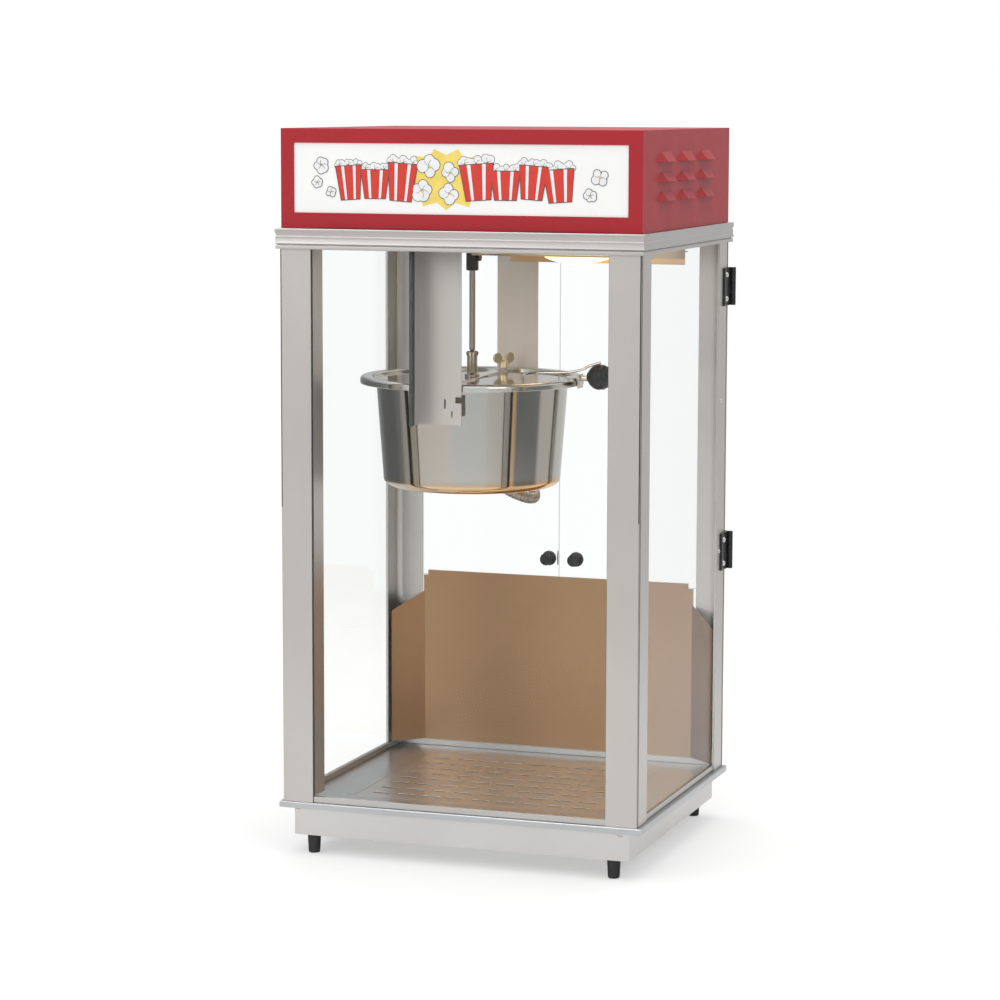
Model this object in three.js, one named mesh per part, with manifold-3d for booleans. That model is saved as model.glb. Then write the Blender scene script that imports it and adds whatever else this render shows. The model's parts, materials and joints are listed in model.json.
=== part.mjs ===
// Countertop popcorn maker with a hanging, tilting kettle, in millimetres.
// +Z is up, the front faces -Y, +X is to the right, and the origin is the bottom centre.
import * as THREE from "three";
import { mergeVertices } from "three/addons/utils/BufferGeometryUtils.js";
import Module from "manifold-3d";

const wasm = await Module();
wasm.setup();

// ---------- Driving dimensions ----------
const gap = 0.3; // left between pieces that touch
const width = 434; // across the corner posts
const depth = 372; // front to back across the corner posts
const height = 850;
const halfWidth = width / 2;
const halfDepth = depth / 2;

const footTop = 21.7;
const skirtBottom = footTop + gap;
const skirtTop = 55;
const skirtHalfWidth = 206;
const skirtHalfDepth = 178;
const deckTop = 62.7;
const deckOverhang = 5; // the deck plate past the posts, left and right
const deckReveal = 1; // the deck plate past the posts, front and back

const postBottom = deckTop + gap;
const postTop = 735.7;
const postFrontLeg = 37.5;
const postSideLeg = 40;
const postWall = 3;
const glassThickness = 3;
const glassSetback = postWall + gap;
const lowerRailTop = 70;
const openingTop = 711.5;
const upperFrameTop = 721.9;

const domeBottom = 736;
const domeHalfDepth = 183;
const sheet = 1.5; // housing sheet thickness

const kettleX = -48; // kettle and drive axis
const tiltX = -40; // tilt axis, right of the kettle's weight so that it rests upright
const tiltZ = 539;
const rimRadius = 134;
const rimTop = 556;
const rimBottom = 547;
const jacketTopRadius = 114.5;
const jacketBottomRadius = 106;
const kettleBottom = 424;
const lidRadius = 116.5;
const lidSeat = 550.7;
const bridgeHalfWidth = 9;
const hangerHalfWidth = 26.5;
const hangerX = -38;
const hangerY = 138.5; // inner face of each hanger arm
const leadRadius = 7; // the kettle's armoured lead
const leadX = -60; // where the lead leaves its fitting under the kettle
const leadY = 72;
const leadZ = 416.5;
const doorThickness = 5;

// ---------- Materials ----------
function finish(color, roughness, metalness, opacity = 1) {
  const settings = { color, roughness, metalness };
  if (opacity < 1) Object.assign(settings, { transparent: true, opacity });
  return new THREE.MeshStandardMaterial(settings);
}
const redPaint = finish("#b03a42", 0.4, 0.0);
const aluminium = finish("#c2bfbb", 0.38, 0.9);
const stainless = finish("#c6c6c8", 0.3, 1.0);
const polished = finish("#c9c6c1", 0.12, 1.0);
const glass = finish("#eef4f4", 0.02, 0.0, 0.2);
const acrylic = finish("#f3f6f6", 0.04, 0.0, 0.2);
const signWhite = finish("#f6f6f3", 0.35, 0.0);
const blackPlastic = finish("#16181a", 0.4, 0.0);
const blackSteel = finish("#1b1c1d", 0.35, 0.6);
const blackRubber = finish("#141414", 0.8, 0.0);
const steel = finish("#a9a39b", 0.25, 1.0);
const motorGrey = finish("#5d6164", 0.5, 0.6);
const ceramic = finish("#ece8df", 0.5, 0.0);
const lampGlass = finish("#fff3d8", 0.3, 0.0, 0.8);
const conduitGrey = finish("#a5a29c", 0.45, 0.8);
const kettleAlloy = finish("#b9b6b1", 0.35, 0.9);

// ---------- Solids ----------
// A manifold-3d solid from a closed geometry, with its faces turned outwards.
function solid(geometry) {
  const bare = geometry.clone();
  bare.deleteAttribute("normal");
  bare.deleteAttribute("uv");
  const merged = mergeVertices(bare, 1e-3);
  const kept = [];
  for (let i = 0; i < merged.index.count; i += 3) {
    const [a, b, c] = [0, 1, 2].map((k) => merged.index.getX(i + k));
    if (a !== b && b !== c && c !== a) kept.push(a, b, c);
  }
  const build = (triangles) =>
    new wasm.Manifold(
      new wasm.Mesh({
        numProp: 3,
        vertProperties: merged.attributes.position.array,
        triVerts: new Uint32Array(triangles),
      }),
    );
  const made = build(kept);
  if (made.volume() > 0) return made;
  for (let i = 0; i < kept.length; i += 3) [kept[i], kept[i + 1]] = [kept[i + 1], kept[i]];
  return build(kept);
}

function block(x0, x1, y0, y1, z0, z1) {
  const box = new THREE.BoxGeometry(x1 - x0, y1 - y0, z1 - z0);
  return solid(box.translate((x0 + x1) / 2, (y0 + y1) / 2, (z0 + z1) / 2));
}

// A block on each side of the plane x = 0.
function blockPair(x0, x1, y0, y1, z0, z1) {
  return block(x0, x1, y0, y1, z0, z1).add(block(-x1, -x0, y0, y1, z0, z1));
}

function outline(points) {
  return new THREE.Shape(points.map(([a, b]) => new THREE.Vector2(a, b)));
}

function extrude(points, length) {
  return new THREE.ExtrudeGeometry(outline(points), { depth: length, bevelEnabled: false });
}

// An [x, y] outline raised from z0 to z1.
function prismZ(points, z0, z1) {
  return solid(extrude(points, z1 - z0).translate(0, 0, z0));
}

// A [y, z] outline drawn along X.
function prismX(points, x0, x1) {
  const turn = new THREE.Matrix4().makeBasis(
    new THREE.Vector3(0, 1, 0),
    new THREE.Vector3(0, 0, 1),
    new THREE.Vector3(1, 0, 0),
  );
  return solid(extrude(points, x1 - x0).applyMatrix4(turn).translate(x0, 0, 0));
}

// An [x, z] outline drawn along Y.
function prismY(points, y0, y1) {
  const upright = extrude(points, y1 - y0).rotateX(Math.PI / 2);
  return solid(upright.translate(0, y1, 0));
}

// A [radius, z] profile turned about a vertical axis through (x, y).
function turned(profile, x, y, segments) {
  const points = profile.map(([radius, z]) => new THREE.Vector2(radius, z));
  return solid(new THREE.LatheGeometry(points, segments).rotateX(Math.PI / 2).translate(x, y, 0));
}

function post(radius, x, y, z0, z1, segments = 24) {
  return turned([[0, z0], [radius, z0], [radius, z1], [0, z1]], x, y, segments);
}

// A round bar along X or Y, given its centre, radius and the two ends.
function barX(radius, x0, x1, y, z, segments = 16) {
  const bar = new THREE.CylinderGeometry(radius, radius, x1 - x0, segments).rotateZ(Math.PI / 2);
  return solid(bar.translate((x0 + x1) / 2, y, z));
}
function barY(radius, y0, y1, x, z, segments = 16) {
  const bar = new THREE.CylinderGeometry(radius, radius, y1 - y0, segments);
  return solid(bar.translate(x, (y0 + y1) / 2, z));
}

// A rectangular frame with mitred corners. Its section is a closed [offset, z] outline, and the
// offset is counted outwards from the half sizes.
function mitredFrame(section, halfX, halfY) {
  const corners = [[1, 1], [-1, 1], [-1, -1], [1, -1]];
  const positions = section.flatMap(([offset, z]) =>
    corners.flatMap(([sx, sy]) => [sx * (halfX + offset), sy * (halfY + offset), z]),
  );
  const index = [];
  section.forEach((_, i) => {
    const next = (i + 1) % section.length;
    corners.forEach((_, j) => {
      const turn = (j + 1) % corners.length;
      const [a, b, c, d] = [4 * i + j, 4 * i + turn, 4 * next + turn, 4 * next + j];
      index.push(a, b, c, a, c, d);
    });
  });
  const geometry = new THREE.BufferGeometry();
  geometry.setAttribute("position", new THREE.Float32BufferAttribute(positions, 3));
  geometry.setIndex(index);
  return solid(geometry);
}

// ---------- The assembly ----------
const machine = new THREE.Group();

function add(name, shape, material) {
  const { vertProperties, triVerts } = shape.getMesh();
  const shared = new THREE.BufferGeometry();
  shared.setAttribute("position", new THREE.BufferAttribute(new Float32Array(vertProperties), 3));
  shared.setIndex(new THREE.BufferAttribute(new Uint32Array(triVerts), 1));
  const geometry = shared.toNonIndexed();
  geometry.computeVertexNormals();
  const mesh = new THREE.Mesh(geometry, material);
  mesh.name = name;
  machine.add(mesh);
}

// ---------- Base ----------
const drawerHalfWidth = 150;
const drawerFloor = 27;
const drawerTop = 50;

// Four skirt walls folded from sheet, with an inward foot flange and two drawer runners.
function baseSkirt() {
  const flange = 14;
  const walls = mitredFrame(
    [
      [0, skirtBottom], [0, skirtTop], [-sheet, skirtTop],
      [-sheet, skirtBottom + sheet], [-flange, skirtBottom + sheet], [-flange, skirtBottom],
    ],
    skirtHalfWidth,
    skirtHalfDepth,
  );
  const runnerInner = drawerHalfWidth - 8;
  const runnerOuter = drawerHalfWidth + 2;
  const backInside = skirtHalfDepth - sheet;
  const shelfBottom = skirtBottom + 2;
  const footTopZ = skirtBottom + 3;
  const shelf = blockPair(runnerInner, runnerOuter, -backInside, backInside, shelfBottom, shelfBottom + sheet);
  const fence = blockPair(runnerOuter, runnerOuter + sheet, -backInside, backInside, shelfBottom, 38);
  const foot = blockPair(runnerInner, runnerOuter, -backInside - 0.5, -backInside + 8, skirtBottom, footTopZ);
  const backFoot = blockPair(runnerInner, runnerOuter, backInside - 8, backInside + 0.5, skirtBottom, footTopZ);
  const mouth = block(-drawerHalfWidth - 2, drawerHalfWidth + 2, backInside - 1, skirtHalfDepth + 1, 25.6, 53);
  const front = -skirtHalfDepth;
  const reliefs = block(-skirtHalfWidth - 1, -skirtHalfWidth + 7, front - 1, front + 1.2, 52.4, 54.4)
    .add(block(skirtHalfWidth - 14, skirtHalfWidth - 8, front - 1, front + 2, 50.8, 52.8));
  return walls.subtract(mouth).subtract(reliefs).add(shelf).add(fence).add(foot).add(backFoot);
}
add("base_skirt", baseSkirt(), stainless);

const footX = skirtHalfWidth - 21;
const footY = skirtHalfDepth - 9.5;
for (const [name, sx, sy] of [
  ["foot_front_left", -1, -1],
  ["foot_front_right", 1, -1],
  ["foot_rear_left", -1, 1],
  ["foot_rear_right", 1, 1],
]) {
  const profile = [[0, 0], [6, 0], [6.8, 0.8], [7.8, footTop - 1], [7.8, footTop], [0, footTop]];
  add(name, turned(profile, sx * footX, sy * footY, 24), blackRubber);
}

const screenHalfWidth = 150;
const screenHalfDepth = 128;

// A folded deck: top sheet, down-turned rim and return flange, with a ledge for the floor screen.
function deckPlate() {
  const returnBottom = skirtTop + gap;
  const foldSheet = 1.2;
  const halfX = halfWidth + deckOverhang;
  const halfY = halfDepth + deckReveal;
  const returnWidth = halfY - skirtHalfDepth + 7;
  const rim = mitredFrame(
    [
      [-1, deckTop], [0, deckTop - 1], [0, returnBottom], [-returnWidth, returnBottom],
      [-returnWidth, returnBottom + foldSheet], [-foldSheet, returnBottom + foldSheet],
      [-foldSheet, deckTop - foldSheet], [-returnWidth, deckTop - foldSheet], [-returnWidth, deckTop],
    ],
    halfX,
    halfY,
  );
  const top = block(-halfX + 4, halfX - 4, -halfY + 4, halfY - 4, deckTop - foldSheet, deckTop);
  const opening = block(-screenHalfWidth, screenHalfWidth, -screenHalfDepth, screenHalfDepth, 50, 70);
  const ledgeWidth = 6;
  const ledge = mitredFrame(
    [
      [2, deckTop - 1.2], [2, deckTop - 2.7], [-ledgeWidth, deckTop - 2.7],
      [-ledgeWidth, deckTop - 1.5], [0, deckTop - 1.5], [0, deckTop - 1.2],
    ],
    screenHalfWidth,
    screenHalfDepth,
  );
  const sideReturn = blockPair(
    skirtHalfWidth - 7, halfX - returnWidth + 1, -halfY + 2, halfY - 2, returnBottom, returnBottom + foldSheet,
  );
  return top.subtract(opening).add(rim).add(ledge).add(sideReturn);
}
add("deck_plate", deckPlate(), stainless);

// A lift-out floor screen with rows of slots for unpopped kernels.
function floorScreen() {
  const columns = 9;
  const rows = 8;
  const slotLength = 22;
  const slotWidth = 5;
  let screen = block(
    -screenHalfWidth + gap, screenHalfWidth - gap,
    -screenHalfDepth + gap, screenHalfDepth - gap,
    deckTop - 1.2, deckTop,
  );
  for (let column = 0; column < columns; column++) {
    for (let row = 0; row < rows; row++) {
      const x = (column - (columns - 1) / 2) * 31;
      const y = (row - (rows - 1) / 2) * 30;
      screen = screen.subtract(
        block(x - slotLength / 2, x + slotLength / 2, y - slotWidth / 2, y + slotWidth / 2, 50, 70),
      );
    }
  }
  return screen;
}
add("floor_screen", floorScreen(), stainless);

// A shallow tray that catches kernels and slides out under the rear of the deck.
function crumbDrawer() {
  const wall = 1.2;
  const front = -140;
  const back = skirtHalfDepth + gap;
  const plate = block(-drawerHalfWidth - 8, drawerHalfWidth + 8, back, back + 2, 24.2, 54.5);
  const body = block(-drawerHalfWidth, drawerHalfWidth, front, back + 0.5, drawerFloor, drawerTop);
  const inner = drawerHalfWidth - wall;
  const hollow = block(-inner, inner, front + wall, back - wall, drawerFloor + wall, drawerTop + 10);
  const lipSection = [
    [back + 1, 44], [back + 14, 44], [back + 14, 38], [back + 12.5, 38], [back + 12.5, 42.5], [back + 1, 42.5],
  ];
  const lip = prismX(lipSection, -45, 45);
  return body.subtract(hollow).add(plate).add(lip);
}
add("crumb_drawer", crumbDrawer(), stainless);

// ---------- Cabinet ----------
const corners = [
  ["front_left", -1, -1],
  ["front_right", 1, -1],
  ["rear_left", -1, 1],
  ["rear_right", 1, 1],
];

// An angle extrusion. The outline is drawn inwards from the outer corner: along X, then along Y.
function cornerPost(sx, sy) {
  const grooveStart = 2;
  const grooveEnd = 7;
  const grooveDepth = 2;
  const fillet = 11;
  const section = [
    [0.8, 0], [postFrontLeg, 0], [postFrontLeg, postWall], [fillet, postWall], [postWall + 2, fillet - 3],
    [postWall, fillet], [postWall, postSideLeg], [0, postSideLeg], [0, grooveEnd],
    [grooveDepth, grooveEnd], [grooveDepth, grooveStart], [0, grooveStart], [0, 0.8],
  ];
  return prismZ(
    section.map(([u, v]) => [sx * (halfWidth - u), sy * (halfDepth - v)]),
    postBottom,
    postTop,
  );
}
for (const [name, sx, sy] of corners) add(`post_${name}`, cornerPost(sx, sy), aluminium);

// A rail round the foot of the glazing, open over the deck, in front of which the doors close.
const frameInset = 1.4;
function lowerFrame() {
  const halfX = halfWidth - frameInset;
  const halfY = halfDepth - frameInset;
  const ring = mitredFrame(
    [
      [-0.8, postBottom], [-0.8, postBottom + 1], [0, postBottom + 1], [0, lowerRailTop],
      [-7, lowerRailTop], [-7, postBottom],
    ],
    halfX,
    halfY,
  );
  return ring.subtract(cornerClearance(postBottom - 1, lowerRailTop + 1));
}

// The room that the corner posts take up, with a gap round it.
function cornerClearance(z0, z1) {
  return corners
    .map(([, sx, sy]) => {
      const reach = [
        [-2, -2], [postFrontLeg + gap, -2], [postFrontLeg + gap, postWall + gap], [12, postWall + gap],
        [postWall + gap, 12], [postWall + gap, postSideLeg + gap], [-2, postSideLeg + gap],
      ];
      return prismZ(reach.map(([u, v]) => [sx * (halfWidth - u), sy * (halfDepth - v)]), z0, z1);
    })
    .reduce((all, one) => all.add(one));
}
add("lower_frame", lowerFrame(), aluminium);

// A ring that ties the tops of the posts, closes over the glass and carries the ceiling plate.
function upperFrame() {
  const halfX = halfWidth - frameInset;
  const halfY = halfDepth - frameInset;
  const ring = mitredFrame(
    [
      [0, openingTop], [0, upperFrameTop], [-14, upperFrameTop], [-14, upperFrameTop - 2],
      [-7, upperFrameTop - 2], [-7, openingTop],
    ],
    halfX,
    halfY,
  );
  return ring.subtract(cornerClearance(openingTop - 1, upperFrameTop + 1));
}
add("upper_frame", upperFrame(), aluminium);

// ---------- Glazing ----------
const paneBottom = lowerRailTop + gap;
const paneTop = openingTop - gap;
const frontPaneOuter = -halfDepth + glassSetback;
add(
  "glass_front",
  block(
    -halfWidth + 12.5, halfWidth - 12.5, frontPaneOuter, frontPaneOuter + glassThickness, paneBottom, paneTop,
  ),
  glass,
);
for (const [name, side] of [["glass_left", -1], ["glass_right", 1]]) {
  const outer = halfWidth - glassSetback;
  const [x0, x1] = side > 0 ? [outer - glassThickness, outer] : [-outer, -outer + glassThickness];
  add(name, block(x0, x1, -halfDepth + 12.5, halfDepth - 12.5, paneBottom, paneTop), glass);
}

// An angle strip behind each upright edge of the front glass.
for (const [name, side] of [["glass_stop_left", -1], ["glass_stop_right", 1]]) {
  const back = -frontPaneOuter - glassThickness - gap; // distance from the middle to the glass
  const inner = halfWidth - postFrontLeg;
  const section = [
    [inner, -back], [inner + 17, -back], [inner + 17, -back + 2], [inner + 2.2, -back + 2],
    [inner + 2.2, -back + 30], [inner + 0.8, -back + 31.5], [inner, -back + 30],
  ];
  add(name, prismZ(section.map(([x, y]) => [side * x, y]), paneBottom, paneTop), aluminium);
}

// ---------- Cornice ----------
// The moulding covers the joint between the dome and the posts. Its face has a hollow between two
// lips, and a dark groove above the plain band at the foot.
function cornice() {
  const top = domeBottom - gap;
  const bottom = openingTop + 0.5;
  const section = [
    [0.3, top], [4.4, top], [5, top - 0.7], [5, top - 4.2], [3.5, top - 8.4], [4.6, top - 9.4],
    [4.2, top - 12], [5, top - 17.4], [4.2, top - 18.2], [2.6, top - 18.4], [2.6, top - 19.2],
    [4.2, top - 19.4], [4.4, bottom + 0.6], [4, bottom], [0.3, bottom],
  ];
  return mitredFrame(section, halfWidth, halfDepth);
}
add("cornice", cornice(), aluminium);

// ---------- Dome ----------
const windowLeft = -201;
const windowRight = 200.3;
const windowBottom = 753.8;
const windowTop = 833.5;
const louvreRows = [814, 792, 770.5];
const louvreColumns = [-91, -8, 75];
const louvreReach = 8;
const louvreRise = 12;

// A closed wedge on a side wall: a sloped top and two sloped ends between the wall and a lip.
// The lip stands out by reach at height z, and the slope meets the wall at height z + rise.
function louvreWedge(side, y, z, wallX, reach, rise, footHalf, lipHalf, topHalf) {
  const corners = [
    [wallX, -footHalf, z], [wallX, footHalf, z], [wallX + reach, lipHalf, z], [wallX + reach, -lipHalf, z],
    [wallX, -topHalf, z + rise], [wallX, topHalf, z + rise],
  ];
  const faces = [[0, 2, 1], [0, 3, 2], [3, 4, 5], [3, 5, 2], [0, 4, 3], [1, 2, 5], [0, 1, 5], [0, 5, 4]];
  const geometry = new THREE.BufferGeometry();
  const positions = corners.flatMap(([x, offset, height]) => [side * x, y + offset, height]);
  geometry.setAttribute("position", new THREE.Float32BufferAttribute(positions, 3));
  geometry.setIndex(faces.flat());
  return solid(geometry);
}

// A pressed louvre: a hollow wedge of sheet that is open below.
function louvreHood(side, y, z) {
  const root = halfWidth - 0.6; // buried in the wall
  const skin = louvreWedge(side, y, z, root, louvreReach + 0.6, louvreRise, 39, 16, 20);
  const hollow = [louvreReach - 0.8, louvreRise - 1.8, 35.5, 14.4, 18.4];
  const inside = louvreWedge(side, y, z - 0.1, root - 0.1, ...hollow);
  return skin.subtract(inside);
}

// The dome is a box of sheet, open below and behind, with a window for the sign.
function domeHousing() {
  const inner = halfWidth - sheet;
  const innerFront = -domeHalfDepth + sheet;
  let housing = block(-halfWidth, halfWidth, -domeHalfDepth, domeHalfDepth, domeBottom, height)
    .subtract(block(-inner, inner, innerFront, domeHalfDepth + 1, domeBottom - 1, height - sheet))
    .subtract(block(windowLeft, windowRight, -domeHalfDepth - 1, innerFront + 1, windowBottom, windowTop));
  for (const side of [-1, 1]) {
    for (const z of louvreRows) {
      for (const y of louvreColumns) {
        const slot = side > 0
          ? block(inner - 1, halfWidth + 1, y - 24, y + 24, z, z + 7)
          : block(-halfWidth - 1, -inner + 1, y - 24, y + 24, z, z + 7);
        housing = housing.subtract(slot).add(louvreHood(side, y, z));
      }
    }
  }
  return housing;
}
add("dome_housing", domeHousing(), redPaint);

const signFront = -domeHalfDepth + sheet + gap;
add(
  "sign_panel",
  block(windowLeft - 6, windowRight + 6, signFront, signFront + 3, windowBottom - 8, windowTop + 8),
  signWhite,
);

// The operator's panel closes the back of the dome and carries the switches and the cord gland.
const panelBack = domeHalfDepth - 1;
const switchX = [-130, -95, -60];
const switchZ = 790;
const glandX = 150;
const glandZ = 765;
function rearPanel() {
  const inner = halfWidth - sheet - gap;
  const cutoutX = (switchX[0] + switchX[2]) / 2;
  const face = block(-inner, inner, panelBack - sheet, panelBack, domeBottom + 1, height - sheet - gap);
  const foldZ = height - sheet - gap;
  const foldTop = block(-inner, inner, panelBack - 10, panelBack, foldZ - sheet, foldZ);
  return face
    .add(foldTop)
    .subtract(block(cutoutX - 51, cutoutX + 51, panelBack - 5, panelBack + 5, switchZ - 16, switchZ + 16))
    .subtract(barY(9.3, panelBack - 5, panelBack + 5, glandX, glandZ, 24));
}
add("rear_panel", rearPanel(), redPaint);

// A moulded plate with three wells, one for each rocker.
const rockerHalfWidth = 9.5;
const rockerHalfHeight = 12.5;
const rockerPivotY = panelBack - 2;
function switchPlate() {
  const middle = (switchX[0] + switchX[2]) / 2;
  const flange = block(middle - 54, middle + 54, panelBack + gap, panelBack + 2, switchZ - 19, switchZ + 19);
  const body = block(
    middle - 50.5, middle + 50.5, panelBack - 14, panelBack + 1, switchZ - 15.5, switchZ + 15.5,
  );
  let plate = flange.add(body);
  for (const x of switchX) {
    plate = plate.subtract(
      block(x - rockerHalfWidth - 0.6, x + rockerHalfWidth + 0.6, panelBack - 12, panelBack + 5,
        switchZ - rockerHalfHeight - 1.2, switchZ + rockerHalfHeight + 1.2),
    );
  }
  return plate;
}
add("switch_plate", switchPlate(), blackPlastic);

// A rocker stored in its off position: the lower half of its face stands out.
const rockerThrow = 20; // degrees from off to on
["motor", "kettle", "light"].forEach((name, i) => {
  const tipped = THREE.MathUtils.degToRad(rockerThrow / 2);
  const backRadius = 6;
  const roundBack = [-75, -45, -15, 15, 45, 75].map((angle) => {
    const turn = THREE.MathUtils.degToRad(angle);
    return [-backRadius * Math.cos(turn), backRadius * Math.sin(turn)];
  });
  const profile = [
    ...roundBack, [1.5, rockerHalfHeight - 0.4], [3.8, rockerHalfHeight - 0.6],
    [2.6, 0], [3.8, -rockerHalfHeight + 0.6], [1.5, -rockerHalfHeight + 0.4],
  ];
  const turnedProfile = profile.map(([out, up]) => [
    rockerPivotY + out * Math.cos(tipped) - up * Math.sin(tipped),
    switchZ + out * Math.sin(tipped) + up * Math.cos(tipped),
  ]);
  const body = prismX(turnedProfile, switchX[i] - rockerHalfWidth, switchX[i] + rockerHalfWidth);
  add(`rocker_${name}`, body, blackPlastic);
});

// The gland is a bushing with a flange outside and a bore for the cord.
function cordGland() {
  const shape = solid(
    new THREE.LatheGeometry(
      [[4.5, -12], [8.8, -12], [8.8, -0.2], [8.8, 0.3], [13, 0.3], [13, 3], [10, 5.5], [4.5, 5.5]]
        .concat([[4.5, -12]])
        .map(([radius, along]) => new THREE.Vector2(radius, along)),
      24,
    ).translate(0, panelBack, 0),
  );
  return shape.translate([glandX, 0, glandZ]);
}
add("cord_gland", cordGland(), blackPlastic);

// ---------- Ceiling, drive and lamp ----------
const ceilingBottom = upperFrameTop + gap;
const ceilingTop = ceilingBottom + 1.5;
const lampX = 75;
const lampY = 28;
const lampLens = 690.5;

// The plate carries the motor, the lamp and both hanger arms.
function ceilingPlate() {
  const plate = block(-halfWidth + 4, halfWidth - 4, -halfDepth + 4, halfDepth - 4, ceilingBottom, ceilingTop);
  return plate
    .subtract(cornerClearance(ceilingBottom - 1, ceilingTop + 1))
    .subtract(post(10, kettleX, 0, ceilingBottom - 1, ceilingTop + 1))
    .subtract(post(52, lampX, lampY, ceilingBottom - 1, ceilingTop + 1, 40))
    .subtract(post(9, hangerX, 152, ceilingBottom - 1, ceilingTop + 1));
}
add("ceiling_plate", ceilingPlate(), stainless);

const caseBottom = ceilingTop + gap;
const gearRadius = 22;

// A right-angle gear motor: gear case over the drive axis, with the motor can beside it.
function gearMotor() {
  const gearCase = block(kettleX - 32, kettleX + 32, -38, 38, caseBottom, caseBottom + 44);
  const feet = block(kettleX - 44, kettleX + 44, -14, 14, caseBottom, caseBottom + 4);
  const can = barX(29, kettleX - 118, kettleX - 30, 0, caseBottom + 32, 28);
  const cap = barX(22, kettleX - 126, kettleX - 117, 0, caseBottom + 32, 28);
  const bore = post(4.2, kettleX, 0, caseBottom - 1, caseBottom + 12);
  const gearRoom = post(gearRadius + 2, kettleX, 0, caseBottom + 8, caseBottom + 19, 32);
  return gearCase.add(feet).add(can).add(cap).subtract(bore).subtract(gearRoom);
}
add("gear_motor", gearMotor(), motorGrey);

const couplingBottom = 681;
const rodRadius = 3.6;
const rodBottom = 587;
function shaftCoupling() {
  const hub = post(7.4, kettleX, 0, couplingBottom, ceilingBottom - 3, 28);
  const screwHead = barX(4.6, kettleX + 6, kettleX + 10.5, 0, 697, 16);
  return hub.add(screwHead).subtract(post(rodRadius + gap, kettleX, 0, couplingBottom - 1, ceilingBottom));
}
add("shaft_coupling", shaftCoupling(), blackPlastic);

// The output shaft, with the last wheel of the gearbox on its top end.
function driveRod() {
  const wheel = post(gearRadius, kettleX, 0, caseBottom + 9, caseBottom + 17, 32);
  return post(rodRadius, kettleX, 0, rodBottom, caseBottom + 18, 20).add(wheel);
}
add("drive_rod", driveRod(), steel);

// A reflector pan over the lamp. Its side walls are deeper at the back, and its rear wall is deepest
// and ends in a small flange turned back.
function lampReflector() {
  const [x0, x1, y0, y1] = [-33, 186, -46, 96];
  const top = ceilingBottom - gap;
  const wall = 1.2;
  const frontFoot = 701.5;
  const sideFoot = 694.5;
  const rearFoot = 687.5;
  const sectionOuter = [[y0, frontFoot], [y0, top], [y1, top], [y1, sideFoot]];
  const sectionInner = [[y0 + wall, 680], [y0 + wall, top - wall], [y1 - wall, top - wall], [y1 - wall, 680]];
  const rearWall = block(x0, x1, y1 - wall, y1, rearFoot, sideFoot + 2);
  const flange = block(x0, x1, y1 - 0.5, y1 + 12, sideFoot + 8, sideFoot + 9.2);
  return prismX(sectionOuter, x0, x1)
    .subtract(prismX(sectionInner, x0 + wall, x1 - wall))
    .subtract(post(52, lampX, lampY, 710, top + 1, 40))
    .add(rearWall)
    .add(flange);
}
add("lamp_reflector", lampReflector(), stainless);

// A flood lamp hanging through the ceiling plate, with its base up in the socket.
function floodLamp() {
  const profile = [
    [0, lampLens], [22, lampLens + 1.5], [38, lampLens + 6.5], [43.5, lampLens + 12], [44, lampLens + 18],
    [40, lampLens + 36], [29, lampLens + 58], [19, lampLens + 76], [16, lampLens + 88], [12.8, lampLens + 92],
    [12.8, lampLens + 112], [0, lampLens + 114],
  ];
  return turned(profile, lampX, lampY, 36);
}
add("flood_lamp", floodLamp(), lampGlass);

// The socket's cup takes the lamp's base, and its bracket stands on the ceiling plate.
function lampSocket() {
  const cup = turned(
    [
      [13.1, lampLens + 93], [20, lampLens + 93], [20, lampLens + 124], [0, lampLens + 124],
      [0, lampLens + 114.4], [13.1, lampLens + 114.4], [13.1, lampLens + 93],
    ],
    lampX, lampY, 28,
  );
  const bridge = block(lampX - 66, lampX + 66, lampY - 10, lampY + 10, lampLens + 123.5, lampLens + 125);
  const legs = block(lampX - 66, lampX - 64.5, lampY - 10, lampY + 10, ceilingTop + gap, lampLens + 125)
    .add(block(lampX + 64.5, lampX + 66, lampY - 10, lampY + 10, ceilingTop + gap, lampLens + 125));
  const feet = block(lampX - 78, lampX - 64.5, lampY - 10, lampY + 10, ceilingTop + gap, ceilingTop + gap + 1.5)
    .add(block(lampX + 64.5, lampX + 78, lampY - 10, lampY + 10, ceilingTop + gap, ceilingTop + gap + 1.5));
  return cup.add(bridge).add(legs).add(feet);
}
add("lamp_socket", lampSocket(), ceramic);

// ---------- Hanger arms ----------
const hangerBottom = 510;
const pivotRadius = 4;

// An angle of sheet hung from the ceiling plate. Its web faces the kettle and carries the tilt pin.
function hangerArm(side) {
  const left = hangerX - hangerHalfWidth;
  const right = hangerX + hangerHalfWidth;
  const top = ceilingBottom - gap;
  const flangeReach = 30;
  const section = [
    [left, hangerY], [right, hangerY], [right, hangerY + sheet], [left + sheet, hangerY + sheet],
    [left + sheet, hangerY + flangeReach], [left + 4, hangerY + flangeReach],
    [left + 4, hangerY + flangeReach + sheet], [left, hangerY + flangeReach + sheet],
  ];
  let arm = prismZ(section.map(([x, y]) => [x, side * y]), hangerBottom, top);
  const [tabNear, tabFar] = side > 0 ? [hangerY, hangerY + 24] : [-hangerY - 24, -hangerY];
  arm = arm.add(block(left, right, tabNear, tabFar, top - 2, top));
  const pin = side > 0
    ? barY(pivotRadius, hangerY - 18, hangerY + 0.5, tiltX, tiltZ, 20)
    : barY(pivotRadius, -hangerY - 0.5, -hangerY + 18, tiltX, tiltZ, 20);
  const [near, far] = side > 0 ? [hangerY - 1, hangerY + 3] : [-hangerY - 3, -hangerY + 1];
  const notch = block(right - 7.5, right + 1, near, far, 535.5, 542.5);
  const slots = block(-32.6, -30.8, near, far, 529, 540).add(block(-24, -22.2, near, far, 518, 526));
  arm = arm.add(pin).subtract(notch).subtract(slots);
  if (side < 0) return arm;
  return arm.subtract(post(9, hangerX, 152, top - 5, top + 5));
}
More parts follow.
